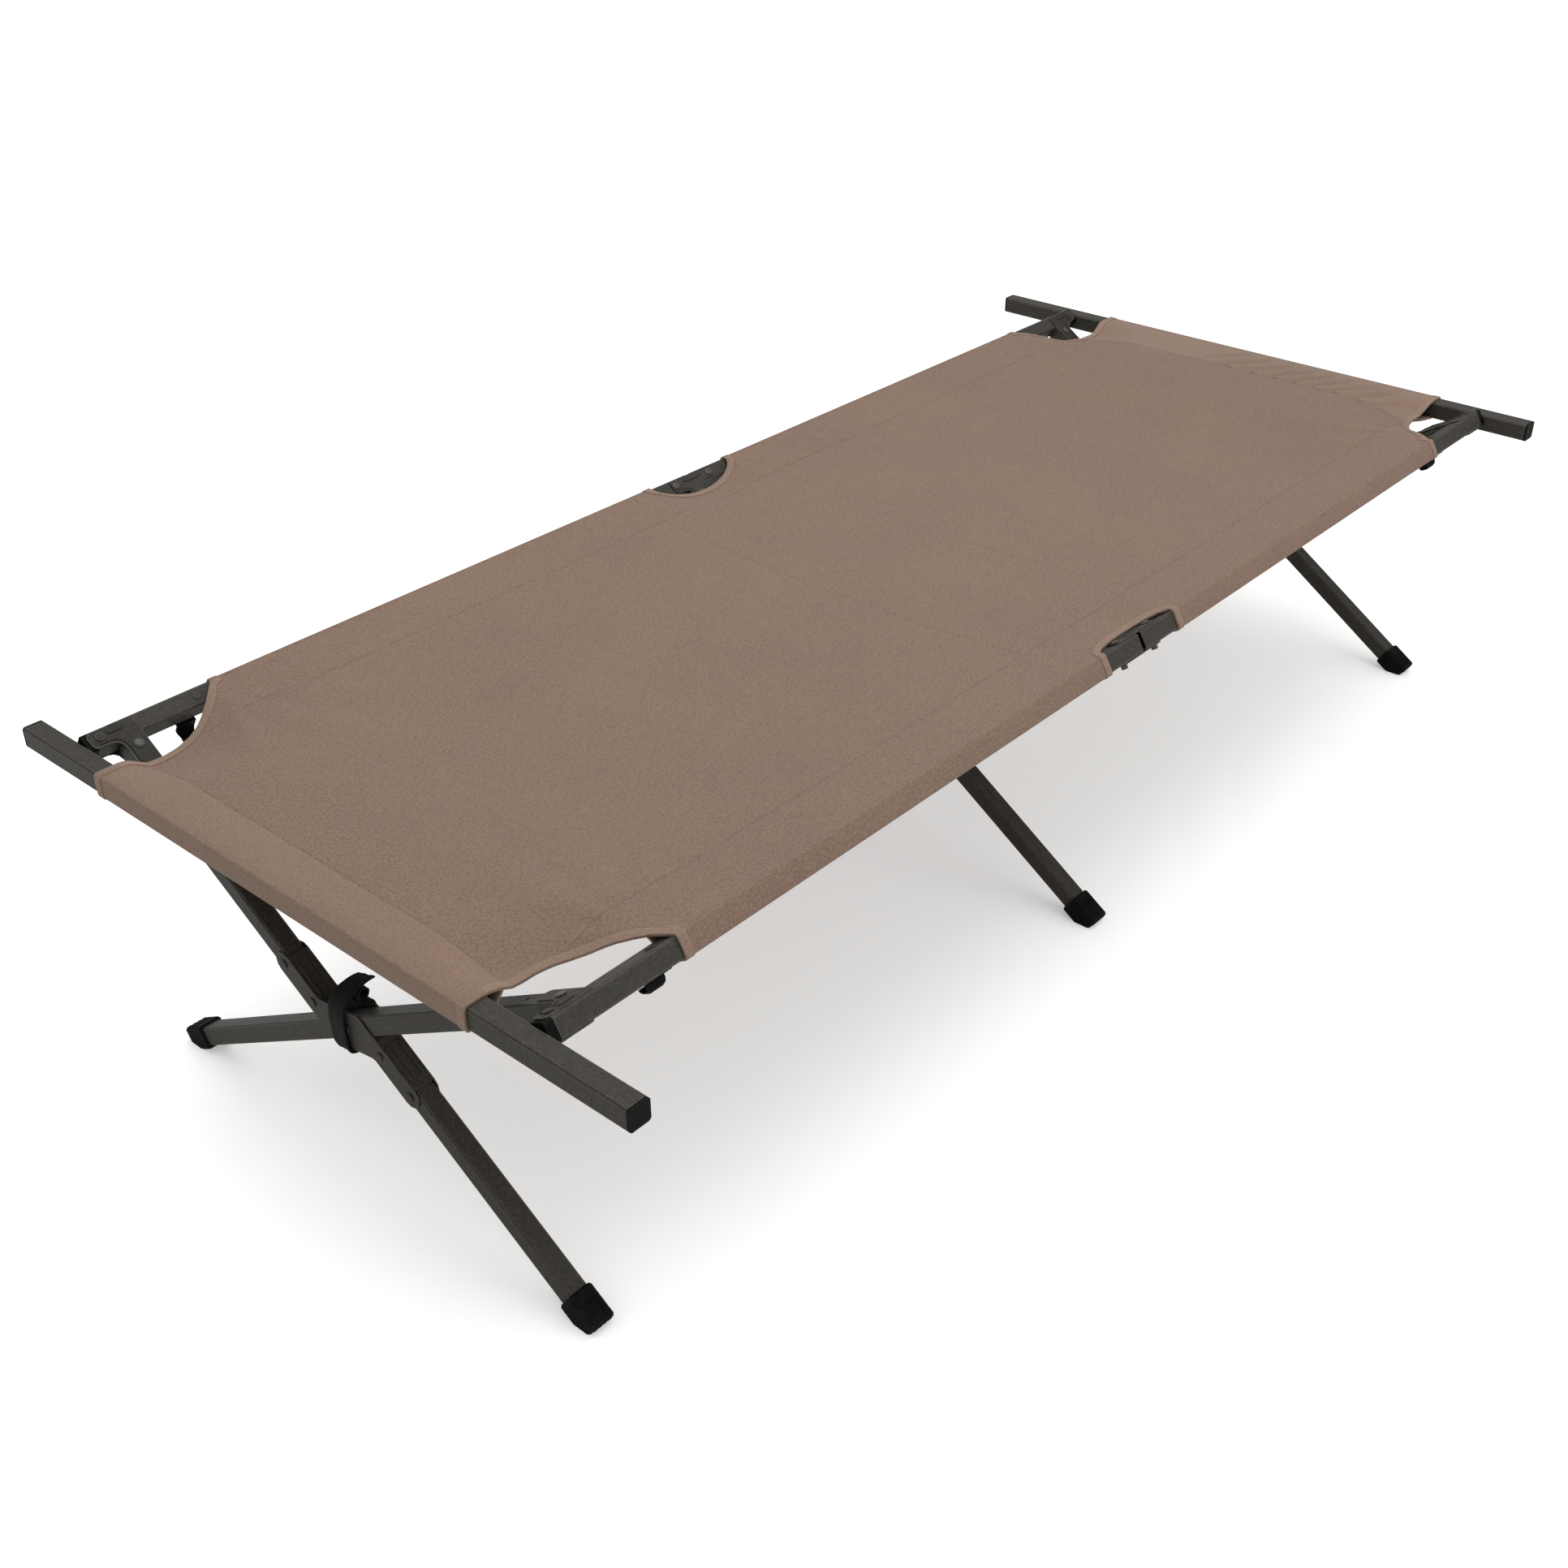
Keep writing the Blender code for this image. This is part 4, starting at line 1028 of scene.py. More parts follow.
# %% Lay the grid
def lay_cloth_grid():
    """The cloth as a bmesh, with the grid place of each vertex."""
    count_x, count_y = LAST_COLUMN + 1 + 2 * HEM_STEPS, LAST_ROW + 1 + 2 * WRAP_STEPS
    shape = bmesh.new()
    bmesh.ops.create_grid(shape, x_segments=count_x - 1, y_segments=count_y - 1, size=1.0)
    valley_shade = shape.verts.layers.float.new("valley_shade")
    cell = {}
    for vert in shape.verts:
        i = round((vert.co.x + 1) / 2 * (count_x - 1)) - HEM_STEPS
        j = round((vert.co.y + 1) / 2 * (count_y - 1)) - WRAP_STEPS
        cell[vert] = (i, j)
    unused = [face for face in shape.faces if not keeps_cell([cell[v] for v in face.verts])]
    bmesh.ops.delete(shape, geom=unused, context="FACES")
    flat = {}
    for vert in shape.verts:
        vert.co, flat[vert] = cloth_vertex(*cell[vert])
        if cell[vert][0] <= LAST_COLUMN:
            x, y = vert.co.x, vert.co.y
            # How deep the point lies between two gathers, for painted shade in the valleys.
            vert[valley_shade] = gathered(x, y) * (0.5 - 0.5 * ripple(x, y))
    uv = shape.loops.layers.uv.new("flat_cloth")
    for face in shape.faces:
        for loop in face.loops:
            loop[uv].uv = flat[loop.vert]
    bmesh.ops.recalc_face_normals(shape, faces=shape.faces)
    if sum(face.normal.z for face in shape.faces) < 0:
        bmesh.ops.reverse_faces(shape, faces=shape.faces)
    return shape, {v: c for v, c in cell.items() if v.is_valid}


cloth_shape, cloth_cell = lay_cloth_grid()
print("cloth faces:", len(cloth_shape.faces))

# %% [markdown]
# A strip of tape is folded over every raw edge: the four hollows, the two notches and
# the open ends of the pockets. The tape covers exactly the grid cells along those
# edges, so it is cut out of a copy of the cloth, pushed a little past the edge and
# made thicker than the cloth. A value that grows along the tape lets its material draw
# the close overcast stitches across it.

# %% Cut the binding tape
TAPE_LIP = 0.0008


def tape_cell(cells):
    """Whether a cell lies along a hollow, a notch or the open end of a pocket."""
    reach = [abs(COLUMNS[clamp(i, 0, LAST_COLUMN)]) for i, _ in cells]
    at_notch = max(reach) <= NOTCH_HALF + TAPE + CLOSE
    at_end = min(reach) >= SLEEVE_END_X - TAPE - CLOSE
    rows = [j for _, j in cells]
    in_sleeve = min(rows) < 0 or max(rows) > LAST_ROW
    at_edge = max(rows) <= 2 or min(rows) >= LAST_ROW - 2
    return (in_sleeve or at_edge) and (at_notch or at_end)


def edge_push(i, j):
    """Which way, and whether, a tape point goes past the raw edge."""
    column, row = clamp(i, 0, LAST_COLUMN), clamp(j, 0, LAST_ROW)
    x = COLUMNS[column]
    push = Vector((0, 0, 0))
    if j == row and row in (0, LAST_ROW) and not has_sleeve(i):
        push.y = TAPE_LIP if row else -TAPE_LIP
    if has_sleeve(i) and (j != row or row in (0, LAST_ROW)):
        if abs(abs(x) - NOTCH_HALF) < CLOSE:
            push.x = -math.copysign(TAPE_LIP, x)
        if abs(abs(x) - SLEEVE_END_X) < CLOSE:
            push.x = math.copysign(TAPE_LIP, x)
    return push


def cut_tape(source, cell):
    source.verts.index_update()
    shape = source.copy()
    along = shape.verts.layers.float.new("along")
    shape.verts.ensure_lookup_table()
    place = {shape.verts[v.index]: cell[v] for v in source.verts}
    unused = [face for face in shape.faces if not tape_cell([place[v] for v in face.verts])]
    bmesh.ops.delete(shape, geom=unused, context="FACES")
    for vert in shape.verts:
        i, j = place[vert]
        in_sleeve = not 0 <= j <= LAST_ROW
        vert[along] = vert.co.y + vert.co.z if in_sleeve else vert.co.x
        if i != clamp(i, 0, LAST_COLUMN):
            vert[along] = vert.co.x - vert.co.z
        vert.co += edge_push(i, j)
    return shape


tape_shape = cut_tape(cloth_shape, cloth_cell)
print("tape faces:", len(tape_shape.faces))

# %% [markdown]
# The cloth is a heavy plain weave. A flat picture of cloth would stretch and repeat, so
# the threads are drawn from the flat cloth's own metres: rounded ridges a millimetre
# apart in both directions, which take turns to lie on top. A little noise makes them
# wander, because no thread is quite straight.

# %% Weave
def ridges(tree, value):
    """Rounded threads, 0 between two of them and 1 on top of each."""
    return math_node(tree, "ABSOLUTE", wave(tree, value, math.pi))


def build_weave_group():
    inputs = [("Vector", "vector", None), ("Threads", "float", 1000.0)]
    outputs = [("Height", "float"), ("Gap Shade", "float"), ("Over", "float")]
    group, given, result = start_group("plain_weave", inputs, outputs)
    flat, threads = given.outputs["Vector"], given.outputs["Threads"]
    place = node(group, "SeparateXYZ", {0: flat})
    wobble = times(group, speckle(group, flat, 90.0, 2.0, 0.5), 0.9)
    across = times_plus(group, place.outputs["X"], threads, wobble)
    down = times_plus(group, place.outputs["Y"], threads, wobble)
    diagonal = math_node(group, "ADD", across, down)
    over = ramp(group, wave(group, diagonal, math.pi / 2), -0.6, 0.6)
    both = {0: over, 2: ridges(group, across), 3: ridges(group, down)}
    top = node(group, "Mix", both, data_type="FLOAT").outputs[0]
    group.links.new(times_plus(group, over, 0.35, top), result.inputs["Height"])
    # Gap Shade is painted shade between the threads, where their tops lie low.
    group.links.new(ramp(group, top, 0.55, 0.05), result.inputs["Gap Shade"])
    group.links.new(over, result.inputs["Over"])
    return group


WEAVE = build_weave_group()
print("group:", WEAVE.name, "with", len(WEAVE.nodes), "nodes")

# %% [markdown]
# Several things change the colour over the cloth. The yarn drifts in tone, as dye does,
# and shows a faint slant. The hems are paler, which is painted light, and the rows of
# stitches lie in painted shadow, as do the valleys between gathers and the gaps between
# threads. Short pale flecks stand for loose fibres on top of the threads. Each function
# below gives one of these as a colour or as a share to mix in.

# %% Shades of the cloth
TAUPE_DARK = (0.134, 0.087, 0.0625, 1)
TAUPE_LIGHT = (0.190, 0.125, 0.0905, 1)
TAUPE_SHADOW = (0.078, 0.050, 0.036, 1)
TAUPE_PALE = (0.262, 0.178, 0.132, 1)
TWILL = 2 * math.pi / 0.0032
SEAM_HALF = 0.0018
SEAM_SHADE = 0.36
SHADED_ROWS = (
    ("X", -hem_stitch_x(-1), HEM_HALF_WIDTH - 0.012, "Y"),
    ("X", hem_stitch_x(1), HEM_HALF_WIDTH - 0.012, "Y"),
    ("Y", -STITCH_Y[RIGHT], 0.85, "X"),
    ("Y", STITCH_Y[LEFT], 0.85, "X"),
)


def dyed_colour(tree, flat, place, slow, slub):
    """Colour of the yarn, from slow drift, patches, uneven yarn and a faint slant."""
    patch = speckle(tree, flat, 60.0, 3.0, 0.6)
    slant = times_plus(tree, place.outputs["Y"], -0.4, place.outputs["X"])
    tone = times_plus(tree, slow, 0.55, times(tree, patch, 0.35))
    tone = times_plus(tree, slub, 2.0, tone)
    tone = times_plus(tree, wave(tree, slant, TWILL), 0.08, tone)
    return mix_colours(tree, ramp(tree, tone, 1.18, 1.72), TAUPE_DARK, TAUPE_LIGHT)


def hem_painted_light(tree, place):
    """How much painted light brightens the hems, the far one more than the near one."""
    lengthways = place.outputs["X"]
    near_line, far_line = -hem_stitch_x(-1), hem_stitch_x(1)
    near = ramp(tree, lengthways, near_line + 0.001, near_line - 0.003, 0.0, 0.20)
    far = ramp(tree, lengthways, far_line - 0.001, far_line + 0.003, 0.0, 0.40)
    return math_node(tree, "ADD", near, far)


def seam_share(tree, place):
    """Shadow along the rows of stitches that close the pockets."""
    shade = None
    for label, level, limit, other in SHADED_ROWS:
        away = math_node(tree, "SUBTRACT", place.outputs[label], level)
        away = math_node(tree, "ABSOLUTE", away)
        reach = math_node(tree, "ABSOLUTE", place.outputs[other])
        line = ramp(tree, away, SEAM_HALF, 0.0, 0.0, SEAM_SHADE)
        line = times(tree, line, ramp(tree, reach, limit, limit - 0.01))
        shade = line if shade is None else math_node(tree, "MAXIMUM", shade, line)
    return shade


def fleck_share(tree, flat, over):
    """Short pale flecks, longest across the bed, where a thread lies on top."""
    look = {0: flat, "Rotation": (0, 0, math.radians(38)), "Scale": (1.0, 0.35, 1.0)}
    stretched = node(tree, "Mapping", look).outputs["Vector"]
    fleck = ramp(tree, speckle(tree, stretched, 1500.0, 2.0, 0.6), 0.44, 0.66, 0.0, 0.70)
    return times(tree, fleck, over)


print("rows of stitches in shadow:", len(SHADED_ROWS), "each", 2 * SEAM_HALF, "m wide")

# %% [markdown]
# The tape is the same cloth in a finer weave, with paler overcast stitches close
# together across it, so one function makes both. A soft sheen at glancing angles stands
# for the loose fibres. The rows of stitches have a finish of their own, a paler thread,
# whose paleness is partly a painted highlight on the thread.

# %% Canvas, tape and thread finishes
CLOTH_GLOSS = 0.25
OVERCAST = (0.31, 0.222, 0.162, 1)
# Both thread tones are raised in part as a painted highlight.
THREAD_DARK = (0.16, 0.108, 0.080, 1)
THREAD_PALE = (0.27, 0.188, 0.142, 1)


def attribute(tree, name):
    return node(tree, "Attribute", attribute_name=name).outputs["Fac"]


def build_cloth(name, threads, ribbed=False):
    sheen = {"sheen_weight": 0.06, "sheen_roughness": 0.5}
    material, tree, shader = start_material(name, CLOTH_GLOSS, **sheen)
    flat = node(tree, "UVMap", uv_map="flat_cloth").outputs["UV"]
    place = node(tree, "SeparateXYZ", {0: flat})
    weave = place_group(tree, WEAVE, {"Vector": flat, "Threads": threads})
    slow = speckle(tree, flat, 5.0, 4.0, 0.6)
    slub = speckle(tree, flat, 300.0, 2.0, 0.6)
    colour = dyed_colour(tree, flat, place, slow, slub)
    for share, tone in (
        # Paler hems: painted light.
        (hem_painted_light(tree, place), TAUPE_PALE),
        (seam_share(tree, place), TAUPE_SHADOW),
        # Painted shade in the valleys between gathers.
        (times(tree, attribute(tree, "valley_shade"), 0.32), TAUPE_SHADOW),
        # Painted shade in the gaps between threads.
        (times(tree, weave.outputs["Gap Shade"], 0.7), TAUPE_SHADOW),
        (fleck_share(tree, flat, weave.outputs["Over"]), TAUPE_PALE),
    ):
        colour = mix_colours(tree, share, colour, tone)
    height = times_plus(tree, slub, 0.6, weave.outputs["Height"])
    if ribbed:
        rib = ramp(tree, wave(tree, attribute(tree, "along"), 3500.0), -0.8, 0.8)
        colour = mix_colours(tree, times_plus(tree, rib, 0.28, 0.10), colour, OVERCAST)
        height = times_plus(tree, rib, 1.6, height)
    gloss = ramp(tree, slow, 0.3, 0.7, 0.84, 0.94)
    wire(tree, shader, base_color=colour, roughness=gloss, normal=bump(tree, height, 0.0004, 0.5))
    return material


def build_thread():
    material, tree, shader = start_material("taupe_thread", roughness=0.8)
    tone = ramp(tree, speckle(tree, object_place(tree), 600.0, 2.0, 0.5), 0.3, 0.7)
    wire(tree, shader, base_color=mix_colours(tree, tone, THREAD_DARK, THREAD_PALE))
    return material


CLOTH = build_cloth("taupe_canvas", 1000.0)
BINDING = build_cloth("taupe_binding", 1300.0, ribbed=True)
THREAD = build_thread()
print("cloth finishes:", CLOTH.name, BINDING.name, THREAD.name)

# %% [markdown]
# So far the cloth and its tape have no thickness. A modifier gives them one on both
# sides of the laid surface, which keeps the mesh light, and the tape's edges are
# softened. The size of the flat cloth comes from the paths that were laid, out to the
# end of the turned-under edge.

# %% Finish the cloth and its tape
TAPE_SHEET = CANVAS + 0.0020


def object_from(shape, name, material):
    for face in shape.faces:
        face.smooth = True
    mesh = bpy.data.meshes.new(name)
    shape.to_mesh(mesh)
    shape.free()
    mesh.materials.append(material)
    piece = bpy.data.objects.new(name, mesh)
    bpy.context.scene.collection.objects.link(piece)
    return piece


def thicken(piece, thickness):
    wall = piece.modifiers.new("Thickness", "SOLIDIFY")
    wall.thickness = thickness
    wall.offset = 0
    wall.use_even_offset = True


def soften(piece, width, degrees):
    soft = piece.modifiers.new("Soft edge", "BEVEL")
    soft.width = width
    soft.segments = 2
    soft.limit_method = "ANGLE"
    soft.angle_limit = math.radians(degrees)


def hem_length(end):
    start = (end * BAR_INNER_X, cloth_height(end * BAR_INNER_X, 0))
    return running_length([start] + hem_path(end, 0))[-1]


CLOTH_AREA = sum(face.calc_area() for face in cloth_shape.faces)
canvas = object_from(cloth_shape, "canvas_bed", CLOTH)
thicken(canvas, CANVAS)
binding = object_from(tape_shape, "canvas_binding", BINDING)
thicken(binding, TAPE_SHEET)
soften(binding, width=0.0007, degrees=50)
SLEEVE_LENGTH = running_length([EDGE[RIGHT]] + sleeve_path(RIGHT, SAMPLE_X))[-1]
FLAT_LENGTH = 2 * BAR_INNER_X + hem_length(-1) + hem_length(1)

# %% [markdown]
# Every row of stitches is a line on the cloth: beside each rail, beside each bar, and
# two across the bed that hold a second layer under the middle. A stitch is a short
# thread that dips into the cloth at both ends, so a small stretched ball half sunk in
# the surface is enough, repeated every few millimetres.

# %% Stitches
STITCH_PITCH = 0.0040
STITCH_LENGTH = 0.0027
STITCH_LIFT = 0.3
THREAD_RADIUS = 0.00042
SLEEVE_ROW = (0.004, 0.850)
HEM_ROW_HALF = 0.284
LOOK_AHEAD = 0.002


def line_places(start, end):
    start, end = Vector(start), Vector(end)
    count = int((end - start).length / STITCH_PITCH)
    heading = (end - start).normalized()
    return [(start + heading * STITCH_PITCH * (k + 0.5), heading) for k in range(count)]


def stitch_lines():
    lines = []
    for side, sign in SIGN.items():
        y = sign * STITCH_Y[side]
        for end in (-1, 1):
            lines.append([(end * x, y) for x in SLEEVE_ROW])
    for end in (-1, 1):
        x = end * hem_stitch_x(end)
        lines.append([(x, -HEM_ROW_HALF), (x, HEM_ROW_HALF)])
    for seam in SEAM_X:
        lines.append([(seam, -STITCH_Y[RIGHT]), (seam, STITCH_Y[LEFT])])
    return lines


def stitch_matrix(place, heading):
    """Place, turn and size of one stitch, which follows the slope of the cloth."""
    x, y = place
    z = cloth_height(x, y) + CANVAS / 2
    ahead = place + heading * LOOK_AHEAD
    slope = (cloth_height(*ahead) + CANVAS / 2 - z) / LOOK_AHEAD
    along = Vector((heading.x, heading.y, slope)).normalized()
    across = Vector((-heading.y, heading.x, 0))
    up = along.cross(across)
    turn = Matrix((along, across, up)).transposed().to_4x4()
    size = Matrix.Diagonal((STITCH_LENGTH / 2, THREAD_RADIUS, THREAD_RADIUS, 1))
    return Matrix.Translation((x, y, z + THREAD_RADIUS * STITCH_LIFT)) @ turn @ size


def add_stitches():
    shape = bmesh.new()
    places = [stitch for line in stitch_lines() for stitch in line_places(*line)]
    for place, heading in places:
        matrix = stitch_matrix(place, heading)
        bmesh.ops.create_icosphere(shape, subdivisions=1, radius=1.0, matrix=matrix)
    print("stitches:", len(places))
    return object_from(shape, "canvas_stitching", THREAD)


stitching = add_stitches()

# %% [markdown]
# The cloth crosses the hinge line between the two halves of the frame, so it can't
# simply ride on one of them. Its transforms, and those of its tape and stitches, are
# baked into their points, the frame's own canvas is hidden, and the pieces it rests on
# are listed.

# %% Bake the cloth in place
RESTS_ON = [f"{side}_rail_{end}" for side in SIGN for end in ("near", "far")]
RESTS_ON += ["near_bar", "far_bar"]
for piece in (canvas, binding, stitching):
    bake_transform(piece)
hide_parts("canvas")
print("the cloth rests on", RESTS_ON)

# %% [markdown]
# The webbing strap that ties the near legs together for carrying is left on loosely. It
# goes once round the crossing, its spare length is rolled up on top, and its end
# stands free. A strap is a ribbon, so it is laid along a path: a grid one strap wide
# whose rows are set along a smooth line, then given the thickness of webbing.

# %% Ribbon along a path
STRAP_WIDTH = 0.025


def smooth_line(points, steps):
    """Points of a smooth line through the given ones."""
    points = [Vector(p) for p in points]
    ends = [points[0] * 2 - points[1]] + points + [points[-1] * 2 - points[-2]]
    line = []
    for a, b, c, d in zip(ends, ends[1:], ends[2:], ends[3:]):
        squared, cubed = 2 * a - 5 * b + 4 * c - d, 3 * b - a - 3 * c + d
        for k in range(steps):
            t = k / steps
            line.append(0.5 * (2 * b + (c - a) * t + squared * t**2 + cubed * t**3))
    line.append(points[-1])
    return line


def lay_strip(line, place_across, lanes):
    """Grid along a line: place_across(i, share) gives each point, share from -1 to 1."""
    shape = bmesh.new()
    bmesh.ops.create_grid(shape, x_segments=len(line) - 1, y_segments=lanes, size=1.0)
    uv = shape.loops.layers.uv.new("flat_cloth")
    run = running_length(line)
    for vert in shape.verts:
        i = round((vert.co.x + 1) / 2 * (len(line) - 1))
        share = vert.co.y
        for loop in vert.link_loops:
            loop[uv].uv = (run[i], share * STRAP_WIDTH / 2)
        vert.co = place_across(i, share)
    return shape


print("a smooth line through 3 places has", len(smooth_line([(0, 0), (1, 0), (1, 1)], 4)), "points")

# %% [markdown]
# The strap's path is given as places that were judged round the near crossing:
# over the top, down the outside, under, and up the inside. The roll of spare webbing is
# a spiral that tightens a little at every step.

# %% Path of the strap
STRAP_PATH = [
    (-0.8825, -0.0035, 0.2605),
    (-0.8920, -0.0015, 0.2590),
    (-0.9015, 0.0008, 0.2552),
    (-0.9105, 0.0035, 0.2488),
    (-0.9172, 0.0056, 0.2395),
    (-0.9203, 0.0065, 0.2260),
    (-0.9206, 0.0070, 0.2060),
    (-0.9202, 0.0060, 0.1880),
    (-0.9175, 0.0050, 0.1785),
    (-0.9100, 0.0035, 0.1758),
    (-0.9020, 0.0010, 0.1755),
    (-0.8940, -0.0010, 0.1758),
    (-0.8862, -0.0025, 0.1785),
    (-0.8838, -0.0030, 0.1880),
    (-0.8835, -0.0030, 0.2060),
    (-0.8838, -0.0025, 0.2240),
    (-0.8862, -0.0020, 0.2345),
    (-0.8930, -0.0010, 0.2372),
    (-0.9010, 0.0000, 0.2376),
]
ROLL_CENTRE = (-0.8938, 0.2450)
ROLL_RADIUS = 0.0078
ROLL_TIGHTENS = 0.00019
ROLL_POINTS, POINTS_A_TURN = 18, 12


def strap_places():
    """The path, then a turn and a half of spiral where the spare end is rolled up."""
    places = list(STRAP_PATH)
    for k in range(1, ROLL_POINTS + 1):
        radius = ROLL_RADIUS - ROLL_TIGHTENS * k
        angle = -math.pi / 2 - 2 * math.pi * (k + 0.6) / POINTS_A_TURN
        place_x = ROLL_CENTRE[0] + radius * math.cos(angle)
        place_z = ROLL_CENTRE[1] + radius * math.sin(angle)
        places.append((place_x, 0.0005 + 0.0002 * k, place_z))
    return places


print("places along the strap:", len(strap_places()))

# %% [markdown]
# Webbing is woven thicker than cloth, with ribs along it and finer rows across. Its
# finish draws both as waves over the strap's own length and width. The strap then rides
# with the left half of the frame, because there it stays clear of the crossing bracket
# when the cot is folded.

# %% Webbing strap
STRAP_SHEET = 0.0018
STRAP_LANES = 8
STRAP_STEPS = 4
FREE_POINTS = 20
WEBBING_GLOSS = 0.10
WEBBING_DARK = (0.0025, 0.0024, 0.0024, 1)
WEBBING_PALE = (0.0085, 0.0080, 0.0078, 1)


def build_webbing():
    fixed = {"roughness": 0.85, "sheen_weight": 0.04}
    material, tree, shader = start_material("black_webbing", WEBBING_GLOSS, **fixed)
    flat = node(tree, "UVMap", uv_map="flat_cloth").outputs["UV"]
    place = node(tree, "SeparateXYZ", {0: flat})
    ribs = wave(tree, place.outputs["Y"], 4400.0)
    rows = wave(tree, place.outputs["X"], 5200.0)
    fuzz = speckle(tree, flat, 1400.0, 3.0, 0.7)
    weave = times_plus(tree, ribs, 0.5, times_plus(tree, rows, 0.3, fuzz))
    colour = mix_colours(tree, ramp(tree, weave, 0.0, 1.3), WEBBING_DARK, WEBBING_PALE)
    wire(tree, shader, base_color=colour, normal=bump(tree, weave, 0.0003, 0.6))
    return material


def add_strap():
    line = smooth_line(strap_places(), STRAP_STEPS)

    def across(i, share):
        ruffle = 0.0010 * noise.noise((i * 0.21, share * 2.0, 3.0))
        free = max(0.0, 1 - i / FREE_POINTS)
        lean = Vector((-0.13 * free, 1.0, -0.24 * free + 0.05 * math.sin(i * 0.12)))
        return line[i] + lean * share * STRAP_WIDTH / 2 + Vector((ruffle, 0, ruffle * 0.5))

    shape = lay_strip(line, across, STRAP_LANES)
    strap = object_from(shape, "leg_strap_webbing", build_webbing())
    thicken(strap, STRAP_SHEET)
    soften(strap, width=0.0004, degrees=60)
    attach(strap, "left_frame")
    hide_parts("leg_strap")
    return strap


strap = add_strap()
print("strap points:", len(strap.data.vertices))

# %% [markdown]
# Stamped brackets are stiffened with ribs that the press pushes up out of the sheet,
# and moulded rubber feet have ribs too. All of these are the same shape, a low dome
# along a line with rounded ends, so one helper makes them. It lays a strip, raises its
# middle, narrows it at both ends and closes it underneath.

# %% Ribs along lines
RIB_LANES = 6
BEND_STEPS, STRAIGHT_STEPS = 4, 8
SUNK = 0.0002
TIP = 0.0002
END_ROUND = 0.55
LEAST_TAPER = 0.15
DOME_POWER = 3.5
UP, DOWN, AHEAD = (0, 0, 1), (0, 0, -1), (0, 1, 0)
BODY = {RIGHT: "right_frame", LEFT: "left_frame"}


def rib_line(points):
    if len(points) > 2:
        return smooth_line(points, BEND_STEPS)
    start, end = Vector(points[0]), Vector(points[1])
    return [start.lerp(end, k / STRAIGHT_STEPS) for k in range(STRAIGHT_STEPS + 1)]


def rib_shape(points, width, height, up):
    """Closed low dome along a line in a flat face whose outward direction is up."""
    line = rib_line(points)
    run = running_length(line)

    def place(i, share):
        ahead = (line[min(i + 1, len(line) - 1)] - line[max(i - 1, 0)]).normalized()
        sideways = up.cross(ahead).normalized()
        from_end = min(run[i], run[-1] - run[i])
        taper = math.sin(math.pi / 2 * min(1.0, (from_end + TIP) / (width * END_ROUND)))
        lift = height * taper * (1 - abs(share) ** DOME_POWER)
        return line[i] + sideways * share * width / 2 * max(taper, LEAST_TAPER) + up * lift

    shape = lay_strip(line, place, RIB_LANES)
    rim = [edge for edge in shape.edges if edge.is_boundary]
    bmesh.ops.holes_fill(shape, edges=rim, sides=0)
    bmesh.ops.recalc_face_normals(shape, faces=shape.faces)
    return shape


def join_shapes(shapes):
    joined = bmesh.new()
    for shape in shapes:
        mesh = bpy.data.meshes.new("part")
        shape.to_mesh(mesh)
        shape.free()
        joined.from_mesh(mesh)
        bpy.data.meshes.remove(mesh)
    return joined


def add_ribs(name, side, lines, material):
    """Ribs given in a side's own directions, as one piece that rides with that side."""
    shape = join_shapes([rib_shape(*line[:3], Vector(line[3])) for line in lines])
    bmesh.ops.transform(shape, matrix=FRAME[side], verts=shape.verts)
    piece = object_from(shape, name, material)
    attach(piece, BODY[side])
    print(name, "has", len(lines), "ribs")


print("a straight rib has", len(rib_line([(0, 0, 0), (0, 1, 0)])), "cross sections")

# %% [markdown]
# A bracket has a straight bead along the arm that holds the rail, and one that follows
# the inner bend and runs down the leg. The hinge brackets at the middle have a bend on
# both sides, and beads on both plates. Of the corner brackets only the upper plate has
# beads. Every rib is sunk a fifth of a millimetre into its face, so that no gap shows.

# %% Beads on the corner and hinge brackets
SHEET = 0.0015
PLATE_TOP = TUBE_HALF + FIT + SHEET
ARM_BEAD = (0.0044, 0.0015)
HINGE_BEND_BEAD = (0.0028, 0.0013)
CORNER_BEND_BEAD = (0.0030, 0.0014)


def bend_bead(centre, out, top):
    """Bead that follows the inner bend of a bracket, from the rail arm down the leg arm."""
    offsets = [(0.039, 0.0080), (0.031, 0.0080), (0.0235, 0.0083), (0.0160, 0.0115)]
    offsets += [(0.0118, 0.0180), (0.0104, 0.0260), (0.0102, 0.0380), (0.0102, 0.0510)]
    return [(centre + out * across, down, top) for across, down in offsets]


def hinge_lines():
    lines = []
    for up, top in ((UP, PLATE_TOP - SUNK), (DOWN, -PLATE_TOP + SUNK)):
        arm = [(-0.019, -0.0015, top), (0.019, -0.0015, top)]
        lines.append((arm, *ARM_BEAD, up))
        for out in (1, -1):
            lines.append((bend_bead(0.0, out, top), *HINGE_BEND_BEAD, up))
    return lines


def corner_lines(out):
    top = PLATE_TOP - SUNK
    centre = out * LEG_X
    arm = [(centre + out * 0.003, -0.0012, top), (centre + out * 0.0245, -0.0012, top)]
    bend = bend_bead(centre, out, top)
    return [(arm, *ARM_BEAD, UP), (bend, *CORNER_BEND_BEAD, UP)]


for side in SIGN:
    for end in ENDS:
        if end == "middle":
            add_ribs(f"{side}_hinge_beads_{end}", side, hinge_lines(), STEEL)
        else:
            lines = corner_lines(outward(side, end))
            add_ribs(f"{side}_corner_beads_{end}", side, lines, ENAMEL)

# %% [markdown]
# A crossing bracket joins the two halves of a split leg. The lower half lies two steps
# above the upper one, and the straight leg passes between them. So the bracket has two
# beads side by side over the upper half, and two at a higher level over the lower half.

